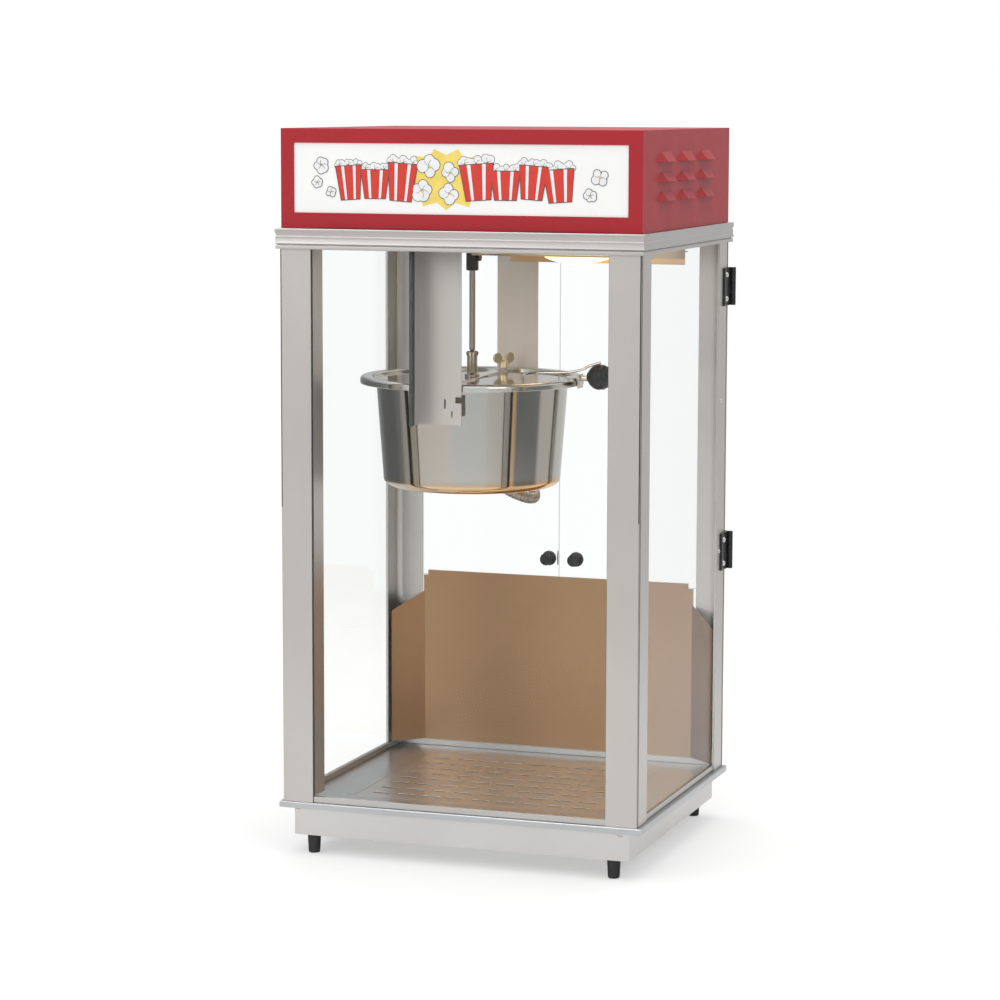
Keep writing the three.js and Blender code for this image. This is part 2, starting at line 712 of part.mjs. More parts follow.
add("hanger_arm_front", hangerArm(-1), stainless);
add("hanger_arm_rear", hangerArm(1), stainless);

// ---------- Kettle ----------
const kettleSegments = 48;
const jacketTop = rimBottom - gap;
const panBottom = 452;

// A bearing lug for the tilt pin, welded to the jacket under the rim.
function tiltLug(side) {
  const inner = 108;
  const outer = 130;
  const [y0, y1] = side > 0 ? [inner, outer] : [-outer, -inner];
  const lug = block(tiltX - 9, tiltX + 9, y0, y1, tiltZ - 12, tiltZ + 7.3);
  return lug.subtract(barY(pivotRadius + 0.3, y0 + 8.5 * (side > 0), y1 - 8.5 * (side < 0), tiltX, tiltZ, 20));
}

// A right-angle fitting under the kettle, with its mouth towards the lead.
function leadFitting() {
  const turn = THREE.MathUtils.radToDeg(Math.atan2(1, 3));
  return block(-17, -gap, -10, 10, -8.2, kettleBottom - leadZ + 0.5)
    .rotate([0, 0, turn])
    .translate([leadX, leadY, leadZ]);
}

// The outer jacket: tapered wall, rounded foot and a closed bottom, with the two lugs.
function kettleShell() {
  const wall = 1.2;
  const jacket = turned(
    [
      [0, kettleBottom], [97, kettleBottom], [102, 426.5], [jacketBottomRadius - 0.7, 432],
      [jacketBottomRadius, 438], [jacketTopRadius, jacketTop], [jacketTopRadius - wall, jacketTop],
      [jacketBottomRadius - wall, 438.5], [jacketBottomRadius - wall - 2, 432.5],
      [96, kettleBottom + wall], [0, kettleBottom + wall],
    ],
    kettleX, 0, kettleSegments,
  );
  const inside = turned(
    [
      [0, 430], [jacketBottomRadius - 3, 440], [jacketTopRadius - wall - 0.2, jacketTop + 5],
      [0, jacketTop + 5],
    ],
    kettleX, 0, kettleSegments,
  );
  const lugs = tiltLug(1).add(tiltLug(-1)).subtract(inside);
  return jacket.add(lugs).add(leadFitting());
}
add("kettle_shell", kettleShell(), polished);

// The popping pan hangs in the jacket by its rim: a wide brim with a rolled-down edge and a lid seat.
function kettlePan() {
  return turned(
    [
      [0, panBottom], [94, panBottom], [99, panBottom + 2], [102, panBottom + 7], [109, lidSeat - 5],
      [109, lidSeat - 1.7], [120, lidSeat - 1.7], [120, rimTop - 2], [131.5, rimTop - 2],
      [132.4, rimTop - 3], [132.4, rimBottom], [rimRadius, rimBottom], [rimRadius, rimTop - 2.2],
      [rimRadius - 1, rimTop - 0.6], [rimRadius - 2.6, rimTop], [118.5, rimTop], [118.5, lidSeat],
      [107.5, lidSeat], [107.5, lidSeat - 4], [100.5, panBottom + 7.5], [97.5, panBottom + 3.6],
      [93, panBottom + 2], [0, panBottom + 2],
    ],
    kettleX, 0, kettleSegments,
  );
}
add("kettle_pan", kettlePan(), kettleAlloy);

// A ring element under the pan.
function heatingElement() {
  const ringRadius = 68;
  const tubeRadius = 4;
  const ringSides = 6;
  const ring = [];
  for (let i = 0; i <= ringSides; i++) {
    const angle = (i / ringSides) * 2 * Math.PI;
    ring.push([ringRadius + tubeRadius * Math.cos(angle), 447 + tubeRadius * Math.sin(angle)]);
  }
  return turned(ring, kettleX, 0, 30);
}
add("heating_element", heatingElement(), steel);

const bridgeTop = lidSeat + gap + 3;
// A bar across the pan that holds the stirrer's top bearing.
function kettleBridge() {
  const reach = 115;
  const bar = block(
    kettleX - bridgeHalfWidth, kettleX + bridgeHalfWidth, -reach, reach, lidSeat + gap, bridgeTop,
  );
  const hub = post(8.5, kettleX, 0, lidSeat - 8, bridgeTop, 24);
  return bar.add(hub).subtract(post(4.4, kettleX, 0, lidSeat - 10, bridgeTop + 1, 24));
}
add("kettle_bridge", kettleBridge(), polished);

// Half lids lie on the seat on each side of the bridge.
const lidSheet = 1.4;
const hingeBarrel = 1.4; // radius of the rolled edge that the flap turns on
const flapHingeX = kettleX + bridgeHalfWidth + gap + hingeBarrel;
const lidBottom = lidSeat + gap;
function lidDisc(x0, x1) {
  const disc = post(lidRadius, kettleX, 0, lidBottom, lidBottom + lidSheet, 64);
  return disc.intersect(block(x0, x1, -150, 150, lidBottom - 10, lidBottom + 10));
}
add("lid_fixed", lidDisc(kettleX - 150, kettleX - bridgeHalfWidth - 0.5), polished);

function lidFlap() {
  const barrelZ = lidBottom + hingeBarrel;
  const barrels = [[-98, -24], [24, 98]].map(([y0, y1]) => barY(hingeBarrel, y0, y1, flapHingeX, barrelZ, 12));
  return lidDisc(flapHingeX, kettleX + 150).add(barrels[0]).add(barrels[1]);
}
add("lid_flap", lidFlap(), polished);

// The stirrer: shaft, two sweeping blades, and the socket tube that stands over the bridge.
const socketBottom = bridgeTop + gap;
const socketTop = 585;
function stirrer() {
  const floor = panBottom + 4.5;
  const shaft = post(4.1, kettleX, 0, floor, socketBottom + 2, 24);
  const hub = post(9, kettleX, 0, floor, floor + 14, 24);
  const blade = block(kettleX - 90, kettleX + 90, -1.5, 1.5, floor, floor + 11);
  const crossBlade = block(kettleX - 1.5, kettleX + 1.5, -62, 62, floor, floor + 7);
  const tube = turned(
    [
      [0, socketBottom], [9, socketBottom], [9, socketBottom + 2.5], [6.2, socketBottom + 5],
      [6.2, socketTop - 6.5], [7.4, socketTop - 3.5], [7.4, socketTop - 1.2], [5.2, socketTop],
      [4.4, socketTop - 4], [4.4, socketTop - 9], [0, socketTop - 9],
    ],
    kettleX, 0, 24,
  );
  const slot = block(kettleX - 10, kettleX + 10, -2.4, 2.4, socketTop - 5, socketTop + 1);
  return shaft.add(hub).add(blade).add(crossBlade).add(tube.subtract(slot));
}
add("stirrer", stirrer(), steel);

// The dumping handle: a bracket on the brim and a rod out to the knob.
const knobX = kettleX + 160;
const knobZ = 558.5;
const knobRadius = 15.5;
const rodZ = 556.5;
function kettleHandle() {
  const outside = kettleX + rimRadius + gap;
  const plateTop = rimTop + gap + 2;
  const plate = block(kettleX + 119.5, outside + 2.5, -8, 8, rimTop + gap, plateTop);
  const lug = block(outside, outside + 2.5, -8, 8, 545, plateTop + 3);
  const rod = barX(3.5, outside + 1, knobX - 2, 0, rodZ, 16);
  return plate.add(lug).add(rod);
}
add("kettle_handle", kettleHandle(), polished);

function handleKnob() {
  const ball = solid(new THREE.SphereGeometry(knobRadius, 18, 12).translate(knobX, 0, knobZ));
  return ball.subtract(barX(3.8, knobX - knobRadius - 1, knobX - 1.5, 0, rodZ, 16));
}
add("handle_knob", handleKnob(), blackPlastic);

// The kettle lead: an armoured flexible conduit that hangs in a loop from its fitting under the
// kettle, rises behind the rear hanger arm and goes through the ceiling plate.
function kettleLead() {
  const route = [
    [leadX, leadY, leadZ], [-51, 75, leadZ], [-35, 80.3, 411], [-20, 85.3, 403.5], [-9, 92, 399],
    [-4, 102.5, 398], [-7, 115, 401], [-14, 127, 409], [-22, 137, 421], [-29, 145, 438], [-34, 150, 460],
    [-37, 152, 490], [-38, 152, 530], [-38, 152, 575], [-38, 152, 620], [-38, 152, 670], [-38, 152, 720],
  ].map(([x, y, z]) => new THREE.Vector3(x, y, z));
  const circle = new THREE.Shape();
  circle.absarc(0, 0, leadRadius, 0, 2 * Math.PI);
  const tube = new THREE.ExtrudeGeometry(circle, {
    extrudePath: new THREE.CatmullRomCurve3(route),
    steps: 44,
    curveSegments: 5,
    bevelEnabled: false,
  });
  return solid(tube);
}
add("kettle_lead", kettleLead(), conduitGrey);

// ---------- Rear doors and shield ----------
const doorFront = halfDepth + 1.5;
const doorBottom = 282;
const doorTop = 706.5;
const hingeX = halfWidth + 4.8;
const hingeY = doorFront + 3.3;
const hingeHeights = [658, 333];
const hingeHalfHeight = 23;
const knuckleRadius = 3.5;
const hingePin = 1.8;
const pullX = 18;
const pullZ = 308;

for (const [name, side] of [["left", -1], ["right", 1]]) {
  const [x0, x1] = side > 0 ? [0.8, halfWidth - 4] : [-halfWidth + 4, -0.8];
  add(`door_${name}`, block(x0, x1, doorFront, doorFront + doorThickness, doorBottom, doorTop), acrylic);
  for (const [place, z] of [["upper", hingeHeights[0]], ["lower", hingeHeights[1]]]) {
    add(`hinge_${place}_${name}_post`, hingePostLeaf(side, z), blackSteel);
    add(`hinge_${place}_${name}_door`, hingeDoorLeaf(side, z), blackSteel);
  }
  add(`door_pull_${name}`, doorPull(side), blackPlastic);
}

// The leaf on the post, with the outer knuckles and the pin.
function hingePostLeaf(side, z) {
  const face = halfWidth + gap;
  const third = hingeHalfHeight / 3;
  const leafEnd = hingeY - knuckleRadius - 1;
  const leaf = sideBlock(side, face, face + 2, 163, leafEnd, z - hingeHalfHeight, z + hingeHalfHeight);
  const pin = post(hingePin, side * hingeX, hingeY, z - hingeHalfHeight, z + hingeHalfHeight, 16);
  const ends = [[z - hingeHalfHeight, z - third], [z + third, z + hingeHalfHeight]].map(([z0, z1]) =>
    post(knuckleRadius, side * hingeX, hingeY, z0, z1, 16)
      .add(sideBlock(side, face, face + 2, leafEnd - 1, hingeY, z0, z1)),
  );
  return leaf.add(ends[0]).add(ends[1]).add(pin);
}

// The leaf on the door, with the middle knuckle round the pin.
function hingeDoorLeaf(side, z) {
  const third = hingeHalfHeight / 3 - gap;
  const back = doorFront + doorThickness + gap;
  const leaf = sideBlock(side, 190, hingeX - 4.3, back, back + 1.7, z - hingeHalfHeight, z + hingeHalfHeight);
  const strap = sideBlock(side, hingeX - 5, hingeX, back, back + 1.7, z - third, z + third);
  const knuckle = post(knuckleRadius, side * hingeX, hingeY, z - third, z + third, 16);
  const bore = post(hingePin + gap, side * hingeX, hingeY, z - hingeHalfHeight, z + hingeHalfHeight, 16);
  return leaf.add(strap).add(knuckle).subtract(bore);
}

function sideBlock(side, x0, x1, y0, y1, z0, z1) {
  return side > 0 ? block(x0, x1, y0, y1, z0, z1) : block(-x1, -x0, y0, y1, z0, z1);
}

// A round pull near the foot of each door's free edge.
function doorPull(side) {
  const back = doorFront + doorThickness + gap;
  const profile = [[0, 0], [8, 0], [5, 4], [5, 9], [9, 13], [9.5, 16], [8, 18.5], [0, 19.5]];
  const points = profile.map(([radius, out]) => new THREE.Vector2(radius, out));
  return solid(new THREE.LatheGeometry(points, 24).translate(side * pullX, back, pullZ));
}

// A sheet shield closes the foot of the back, with a hemmed top edge and a splayed wing at each side.
const shieldTop = 289;
function rearShield() {
  const face = halfDepth - glassSetback - 1;
  const halfWidthInside = 177;
  const panel = block(-halfWidthInside, halfWidthInside, face - 1.2, face, lowerRailTop + gap, shieldTop)
    .add(block(-halfWidthInside + 6, halfWidthInside - 6, face - 3.2, face, shieldTop - 6, shieldTop));
  const corner = 6.5;
  const notches = blockPair(
    halfWidthInside - corner, halfWidthInside + 1, face - 10, face + 1, shieldTop - corner, shieldTop + 1,
  );
  return [-1, 1].reduce((all, side) => all.add(shieldWing(side, face)), panel.subtract(notches));
}

// A wing is a plate from the panel's edge forwards to the side glass, lower towards the glass.
function shieldWing(side, face) {
  const inner = 176;
  const outer = halfWidth - glassSetback - glassThickness - 1.5;
  const reach = 32;
  const plan = [
    [inner - 0.6, face - 1.2], [inner + 1, face - 0.1], [outer + 1, face - reach + 0.8], [outer, face - reach],
  ];
  const plate = prismZ(plan.map(([x, y]) => [side * x, y]), lowerRailTop + gap, 262);
  const above = [[inner - 3, 264], [outer + 4, 236], [outer + 4, 300], [inner - 3, 300]];
  const slope = prismY(above.map(([x, z]) => [side * x, z]), 100, 200);
  return plate.subtract(slope);
}
add("rear_shield", rearShield(), stainless);

// The door pulls reach further back than the cornice reaches forwards, so the whole machine
// moves forwards until its middle stands over the origin.
const middle = new THREE.Box3().setFromObject(machine).getCenter(new THREE.Vector3());
for (const mesh of machine.children) mesh.geometry.translate(-middle.x, -middle.y, 0);

export default machine;
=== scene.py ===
import json
import math
import random

import bmesh
import bpy
from mathutils import Matrix, Vector


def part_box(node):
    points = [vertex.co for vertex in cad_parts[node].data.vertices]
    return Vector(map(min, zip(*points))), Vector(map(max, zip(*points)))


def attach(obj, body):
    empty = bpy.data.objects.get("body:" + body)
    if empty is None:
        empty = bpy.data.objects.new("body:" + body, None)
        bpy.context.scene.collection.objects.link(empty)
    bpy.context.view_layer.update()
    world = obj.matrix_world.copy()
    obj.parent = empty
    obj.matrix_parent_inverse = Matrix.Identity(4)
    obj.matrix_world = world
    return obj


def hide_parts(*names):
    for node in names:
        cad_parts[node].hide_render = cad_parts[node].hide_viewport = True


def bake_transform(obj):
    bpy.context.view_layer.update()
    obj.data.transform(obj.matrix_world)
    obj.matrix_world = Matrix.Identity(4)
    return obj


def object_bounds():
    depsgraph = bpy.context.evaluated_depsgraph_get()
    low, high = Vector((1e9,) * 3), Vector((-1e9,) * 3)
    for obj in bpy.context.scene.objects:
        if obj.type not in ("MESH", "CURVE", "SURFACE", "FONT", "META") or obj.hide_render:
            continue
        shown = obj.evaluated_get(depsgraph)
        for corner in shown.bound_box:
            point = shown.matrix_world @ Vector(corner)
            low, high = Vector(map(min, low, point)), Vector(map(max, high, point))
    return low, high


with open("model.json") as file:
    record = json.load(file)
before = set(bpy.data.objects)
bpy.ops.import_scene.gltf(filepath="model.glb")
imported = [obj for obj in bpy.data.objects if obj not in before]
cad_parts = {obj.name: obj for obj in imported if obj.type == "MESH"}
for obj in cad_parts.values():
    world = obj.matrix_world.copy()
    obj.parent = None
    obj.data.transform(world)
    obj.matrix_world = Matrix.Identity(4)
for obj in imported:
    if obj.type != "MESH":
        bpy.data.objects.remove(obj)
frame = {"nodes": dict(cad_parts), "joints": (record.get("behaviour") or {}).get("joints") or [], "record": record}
cad_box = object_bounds()
record = frame["record"]
slot_of = {part["node"]: part["material_slot"] for part in record["subparts"]}
joint_at = {joint["name"]: Vector(joint["pos_m"]) for joint in frame["joints"] if "pos_m" in joint}

MM = 0.001
jacket_foot = 424  # the underside of the kettle, in mm
random.seed(7)

cornice_low, cornice_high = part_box("cornice")
middle = (cornice_low + cornice_high) / 2  # the cabinet's own middle in plan
middle_foot = Vector((middle.x, middle.y, 0))
kettle_axis = joint_at["stirrer_spin"]
tilt_axis = joint_at["kettle_tilt"]


# ---------- Camera, floor and light ----------
def make_camera():
    """A long lens off the front right corner, looking slightly down."""
    yaw, pitch, roll = (math.radians(angle) for angle in (19.09, 7.26, 0.17))
    distance = 3.786
    aim_height, aim_shift = 0.4073, 0.0118
    right = Vector((math.cos(yaw), math.sin(yaw), 0))
    forward = Vector((-math.sin(yaw) * math.cos(pitch), math.cos(yaw) * math.cos(pitch), -math.sin(pitch)))
    target = Vector((middle.x, middle.y, aim_height)) - aim_shift * right
    up = right.cross(forward)
    turned_right = right * math.cos(roll) + up * math.sin(roll)
    turned_up = up * math.cos(roll) - right * math.sin(roll)
    data = bpy.data.cameras.new("camera")
    data.lens = 113.8
    data.sensor_width = 36
    data.clip_end = 100
    camera = bpy.data.objects.new("camera", data)
    basis = Matrix((turned_right, turned_up, -forward)).transposed()
    camera.matrix_world = Matrix.Translation(target - forward * distance) @ basis.to_4x4()
    bpy.context.scene.collection.objects.link(camera)
    bpy.context.scene.camera = camera


def make_floor():
    """A pale disc that fades into the white studio some way off."""
    steps, reach, gap = 96, 2.4, 0.0005
    fade_start, fade_end = 0.7, 2.3
    angles = [2 * math.pi * i / steps for i in range(steps)]
    rim = [(reach * math.cos(angle), reach * math.sin(angle), 0) for angle in angles]
    mesh = bpy.data.meshes.new("floor")
    mesh.from_pydata(rim, [], [range(steps)])
    floor = bpy.data.objects.new("floor", mesh)
    floor.location.z = cad_box[0].z - gap
    bpy.context.scene.collection.objects.link(floor)
    look = Look("pale_floor", (0.93, 0.93, 0.93), 0.9)
    look.set("Specular IOR Level", 0.1)
    coords = look.node("ShaderNodeTexCoord")
    distance = look.node("ShaderNodeVectorMath")
    distance.operation = "LENGTH"
    look.link(coords.outputs["Object"], distance.inputs[0])
    fade = look.node("ShaderNodeMapRange", From_Min=fade_start, From_Max=fade_end, To_Min=0.55, To_Max=0.0)
    fade.interpolation_type = "SMOOTHSTEP"
    look.link(distance.outputs["Value"], fade.inputs["Value"])
    look.link(fade.outputs[0], look.shader.inputs["Alpha"])
    mesh.materials.append(look.material)


def area_light(name, place, aim, size, power):
    data = bpy.data.lights.new(name, "AREA")
    data.shape = "RECTANGLE"
    data.size, data.size_y = size
    data.energy = power
    light = bpy.data.objects.new(name, data)
    light.location = place
    light.rotation_euler = (Vector(aim) - Vector(place)).to_track_quat("-Z", "Y").to_euler()
    light.visible_camera = False
    bpy.context.scene.collection.objects.link(light)


WARM = (1.02, 0.99, 0.95)
PLAIN = (1, 1, 1)
COOL = (0.95, 1.0, 1.04)
GOLD = (1.2, 0.84, 0.46)
# (compass angle in degrees from +X, brightness of the studio there, its tint)
STUDIO_WALLS = [
    (-180, 0.17, COOL), (-171, 0.2, COOL), (-166, 0.38, WARM), (-147, 0.46, WARM), (-141, 0.68, WARM),
    (-99, 0.72, WARM), (-92, 0.7, COOL), (-54, 0.68, COOL), (-48, 0.6, WARM), (-30, 0.56, WARM),
    (-24, 0.62, GOLD), (-17, 0.5, GOLD), (-13, 0.17, COOL), (18, 0.2, COOL), (24, 0.56, WARM),
    (46, 0.56, WARM), (54, 0.5, WARM), (66, 0.66, PLAIN), (104, 0.66, PLAIN), (122, 0.3, COOL),
    (150, 0.14, COOL),
]


def calculated(tree, operation, first, second):
    """The result of one sum on two sockets. second may be a plain number."""
    step = tree.nodes.new("ShaderNodeMath")
    step.operation = operation
    tree.links.new(first, step.inputs[0])
    if isinstance(second, float):
        step.inputs[1].default_value = second
    else:
        tree.links.new(second, step.inputs[1])
    return step.outputs[0]


def mapped(tree, source, start, end):
    """0 where source is at start and 1 where it is at end."""
    scale = tree.nodes.new("ShaderNodeMapRange")
    scale.inputs["From Min"].default_value = start
    scale.inputs["From Max"].default_value = end
    tree.links.new(source, scale.inputs["Value"])
    return scale.outputs[0]


def wall_colors(tree, compass):
    """The colour of the studio's wall at a compass angle that runs from 0 to 1."""
    ramp = tree.nodes.new("ShaderNodeValToRGB")
    tree.links.new(compass, ramp.inputs["Fac"])
    elements = ramp.color_ramp.elements
    while len(elements) < len(STUDIO_WALLS):
        elements.new(0.5)
    for element, (degrees, level, tint) in zip(elements, STUDIO_WALLS):
        element.position = (degrees + 180) / 360
        element.color = (*[level * share for share in tint], 1)
    return ramp.outputs["Color"]


def studio_light(tree):
    """What polished metal mirrors: walls that change round the compass, under a white ceiling."""
    nodes, links = tree.nodes, tree.links
    direction = nodes.new("ShaderNodeTexCoord")
    parts = nodes.new("ShaderNodeSeparateXYZ")
    links.new(direction.outputs["Generated"], parts.inputs[0])
    angle = calculated(tree, "ARCTAN2", parts.outputs["Y"], parts.outputs["X"])
    ceiling = nodes.new("ShaderNodeMix")
    ceiling.data_type = "RGBA"
    ceiling.inputs["B"].default_value = (1.0, 1.0, 1.0, 1)
    links.new(mapped(tree, parts.outputs["Z"], 0.25, 0.8), ceiling.inputs["Factor"])
    links.new(wall_colors(tree, mapped(tree, angle, -math.pi, math.pi)), ceiling.inputs["A"])
    studio = nodes.new("ShaderNodeBackground")
    studio.inputs["Strength"].default_value = 1.0
    links.new(ceiling.outputs["Result"], studio.inputs["Color"])
    return studio.outputs[0]


def make_world():
    """A pale studio: plain white where it is looked at, and banded for light that has bounced."""
    world = bpy.data.worlds.new("studio")
    bpy.context.scene.world = world
    world.use_nodes = True
    tree = world.node_tree
    nodes, links = tree.nodes, tree.links
    nodes.clear()
    white = nodes.new("ShaderNodeBackground")
    white.inputs["Color"].default_value = (1, 1, 1, 1)
    white.inputs["Strength"].default_value = 1.0
    path = nodes.new("ShaderNodeLightPath")
    bounces = calculated(tree, "ADD", path.outputs["Glossy Depth"], path.outputs["Diffuse Depth"])
    mix = nodes.new("ShaderNodeMixShader")
    links.new(calculated(tree, "GREATER_THAN", bounces, 0.5), mix.inputs["Fac"])
    links.new(white.outputs[0], mix.inputs[1])
    links.new(studio_light(tree), mix.inputs[2])
    out = nodes.new("ShaderNodeOutputWorld")
    links.new(mix.outputs[0], out.inputs["Surface"])


def make_stage():
    make_camera()
    make_floor()
    make_world()
    area_light("key", (-1.8, -3.0, 2.2), (0, 0, 0.5), (1.8, 1.8), 26)
    area_light("fill", (2.4, -2.4, 1.8), (0, 0, 0.45), (1.2, 1.2), 8)
    area_light("top", (0, 0.2, 3.2), (0, 0, 0.4), (2.6, 2.6), 46)
    bpy.context.scene.view_settings.view_transform = "Standard"


# ---------- Materials ----------
class Look:
    """A Principled material with a few ways to add procedural detail."""

    def __init__(self, name, color, roughness, metallic=0.0, **settings):
        self.material = bpy.data.materials.new(name)
        self.material.use_nodes = True
        self.nodes = self.material.node_tree.nodes
        self.links = self.material.node_tree.links
        self.shader = self.nodes["Principled BSDF"]
        self.color = color
        self.roughness = roughness
        self.set("Base Color", (*color, 1))
        self.set("Roughness", roughness)
        self.set("Metallic", metallic)
        for socket, value in settings.items():
            self.set(socket.replace("_", " "), value)

    def set(self, socket, value):
        self.shader.inputs[socket].default_value = value

    def link(self, source, target):
        self.links.new(source, target)

    def node(self, kind, **inputs):
        made = self.nodes.new(kind)
        for socket, value in inputs.items():
            made.inputs[socket.replace("_", " ")].default_value = value
        return made

    def noise(self, grain, detail=3.0, rough=0.55):
        """Noise in the piece's own space. grain is how many times it varies in a metre, along X, Y and Z."""
        coords = self.node("ShaderNodeTexCoord")
        stretch = self.node("ShaderNodeMapping", Scale=grain)
        noise = self.node("ShaderNodeTexNoise", Scale=1.0, Detail=detail, Roughness=rough)
        self.link(coords.outputs["Object"], stretch.inputs["Vector"])
        self.link(stretch.outputs["Vector"], noise.inputs["Vector"])
        return noise.outputs["Fac"]

    def spread(self, source, low, high):
        """Maps the middle of a noise onto low to high."""
        scale = self.node("ShaderNodeMapRange", From_Min=0.3, From_Max=0.7, To_Min=low, To_Max=high)
        self.link(source, scale.inputs["Value"])
        return scale.outputs[0]

    def vary_roughness(self, source, amount):
        low, high = self.roughness - amount, self.roughness + amount
        self.link(self.spread(source, max(low, 0.02), high), self.shader.inputs["Roughness"])
        return self

    def mix_color(self, share, first, second):
        """Runs the base colour from first to second as share goes from 0 to 1."""
        mix = self.node("ShaderNodeMix")
        mix.data_type = "RGBA"
        mix.inputs["A"].default_value = (*first, 1)
        mix.inputs["B"].default_value = (*second, 1)
        self.link(share, mix.inputs["Factor"])
        self.link(mix.outputs["Result"], self.shader.inputs["Base Color"])

    def vary_color(self, source, dark, light):
        """Runs the base colour from dark to light times itself."""
        darker = [c * dark for c in self.color]
        lighter = [min(c * light, 1) for c in self.color]
        self.mix_color(self.spread(source, 0, 1), darker, lighter)
        return self

    def along(self, axis, start, end, low=0.0, high=1.0):
        """A ramp in the piece's own space, low at start and high at end, in metres along one axis."""
        coords = self.node("ShaderNodeTexCoord")
        parts = self.node("ShaderNodeSeparateXYZ")
        self.link(coords.outputs["Object"], parts.inputs[0])
        ramp = self.node("ShaderNodeMapRange", From_Min=start, From_Max=end, To_Min=low, To_Max=high)
        self.link(parts.outputs[axis], ramp.inputs["Value"])
        return ramp.outputs[0]

    def bump(self, source, height, strength=1.0):
        bump = self.node("ShaderNodeBump", Distance=height, Strength=strength)
        self.link(source, bump.inputs["Height"])
        self.link(bump.outputs["Normal"], self.shader.inputs["Normal"])
        return self


UP_GRAIN = (1400, 1400, 9)  # brushed or drawn up and down
LEVEL_GRAIN = (9, 9, 1400)  # brushed along the level


def brushed(name, color, roughness, grain, strength=0.12):
    look = Look(name, color, roughness, 1.0)
    lines = look.noise(grain, 3, 0.6)
    clouds = look.noise((9, 9, 9), 3)
    look.vary_roughness(lines, 0.03)
    look.vary_color(clouds, 0.97, 1.02)
    return look.bump(lines, 0.00002, strength).material


def polished(name, color, roughness):
    look = Look(name, color, roughness, 1.0)
    look.vary_roughness(look.noise((14, 14, 30), 4), 0.03)
    look.vary_color(look.noise((5, 5, 9), 3), 0.96, 1.03)
    return look.bump(look.noise((60, 60, 900), 3), 0.000008, 0.3).material


def jacket_steel():
    """Mirror-bright steel with a painted reflection: a warm gold tint round the foot of the kettle, stronger on
    one side.
    """
    look = Look("jacket_steel", (0.61, 0.575, 0.53), 0.07, 1.0)
    # Painted reflection: warm light mirrored in the jacket's foot, laid into its colour.
    painted_warm_reflection = (0.9, 0.5, 0.16)
    look.vary_roughness(look.noise((14, 14, 30), 4), 0.02)
    foot = jacket_foot * MM
    height = look.along("Z", foot + 3 * MM, foot + 16 * MM, 1.0, 0.0)
    side = look.along("X", kettle_axis.x - 120 * MM, kettle_axis.x + 60 * MM, 0.1, 1.0)
    share = look.node("ShaderNodeMath")
    share.operation = "MULTIPLY"
    look.link(height, share.inputs[0])
    look.link(side, share.inputs[1])
    look.mix_color(share.outputs[0], look.color, painted_warm_reflection)
    return look.bump(look.noise((30, 30, 400), 2), 0.000008, 0.12).material


def arm_look(node, color):
    """Flat rolled steel with painted shade: dark on the outer edge of the side flange, which stands off the arm's
    face.
    """
    look = Look(node + "_steel", color, 0.45, 0.55)
    painted_flange_shade = (0.07, 0.078, 0.078)
    lines = look.noise(UP_GRAIN, 2, 0.5)
    look.vary_roughness(lines, 0.02)
    low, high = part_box(node)
    outer = -1 if low.y < kettle_axis.y - 0.1 else 1
    edge = (low.y if outer < 0 else high.y) - outer * 15 * MM
    # Painted shade: the flange beyond the edge line is coloured dark for its shadow.
    look.mix_color(look.along("Y", edge, edge + outer * 1 * MM), color, painted_flange_shade)
    return look.bump(lines, 0.00002, 0.03).material


def red_paint():
    look = Look("red_paint", (0.41, 0.022, 0.031), 0.42, 0.0, Coat_Weight=0.08, Coat_Roughness=0.3)
    look.set("Specular IOR Level", 0.22)
    look.vary_color(look.noise((6, 6, 8), 3), 0.97, 1.03)
    look.vary_roughness(look.noise((40, 40, 40), 3), 0.02)
    return look.bump(look.noise((900, 900, 900), 2), 0.00002, 0.5).material


def plastic(name, color, roughness):
    look = Look(name, color, roughness)
    look.vary_color(look.noise((60, 60, 60), 3), 0.85, 1.12)
    look.vary_roughness(look.noise((150, 150, 150), 3), 0.06)
    return look.bump(look.noise((1600, 1600, 1600), 2), 0.00003, 0.4).material


def rubber():
    look = Look("black_rubber", (0.022, 0.022, 0.023), 0.75)
    look.vary_color(look.noise((90, 90, 90), 4), 0.7, 1.5)
    return look.bump(look.noise((700, 700, 700), 3), 0.00006, 0.6).material


def clear(name, color, roughness, ior, smears):
    """Clear sheet: glass to the eye, and open to the lamps' shadow rays."""
    look = Look(name, color, roughness, 0.0, IOR=ior, Transmission_Weight=1.0)
    look.vary_roughness(look.noise((16, 16, 16), 4), smears)
    shadow = look.node("ShaderNodeLightPath")
    through = look.node("ShaderNodeBsdfTransparent")
    mix = look.node("ShaderNodeMixShader")
    look.link(shadow.outputs["Is Shadow Ray"], mix.inputs["Fac"])
    look.link(look.shader.outputs[0], mix.inputs[1])
    look.link(through.outputs[0], mix.inputs[2])
    look.link(mix.outputs[0], look.nodes["Material Output"].inputs["Surface"])
    return look.material


def sign_white():
    look = Look("sign_white", (0.86, 0.865, 0.855), 0.3)
    # Painted light: a faint emission brightens the sign's white, which has no lamp of its own.
    look.set("Emission Color", (1, 1, 0.98, 1))
    look.set("Emission Strength", 0.1)
    look.vary_color(look.noise((12, 12, 12), 3), 0.985, 1.01)
    return look.bump(look.noise((500, 500, 500), 2), 0.00001, 0.3).material


def print_ink(name, color):
    look = Look(name, color, 0.42)
    look.set("Specular IOR Level", 0.3)
    look.vary_color(look.noise((90, 90, 90), 3), 0.94, 1.05)
    return look.bump(look.noise((800, 800, 800), 2), 0.00001, 0.3).material


def ceramic():
    look = Look("ceramic", (0.8, 0.78, 0.72), 0.35, 0.0, Coat_Weight=0.4)
    return look.vary_color(look.noise((80, 80, 80), 3), 0.95, 1.03).material


def lamp_glass():
    look = Look("lamp_glass", (1.0, 0.93, 0.78), 0.35)
    look.set("Emission Color", (1.0, 0.72, 0.36, 1))
    look.set("Emission Strength", 2.2)
    look.vary_color(look.noise((120, 120, 120), 2), 0.96, 1.02)
    return look.bump(look.noise((420, 420, 420), 2), 0.0002, 0.5).material


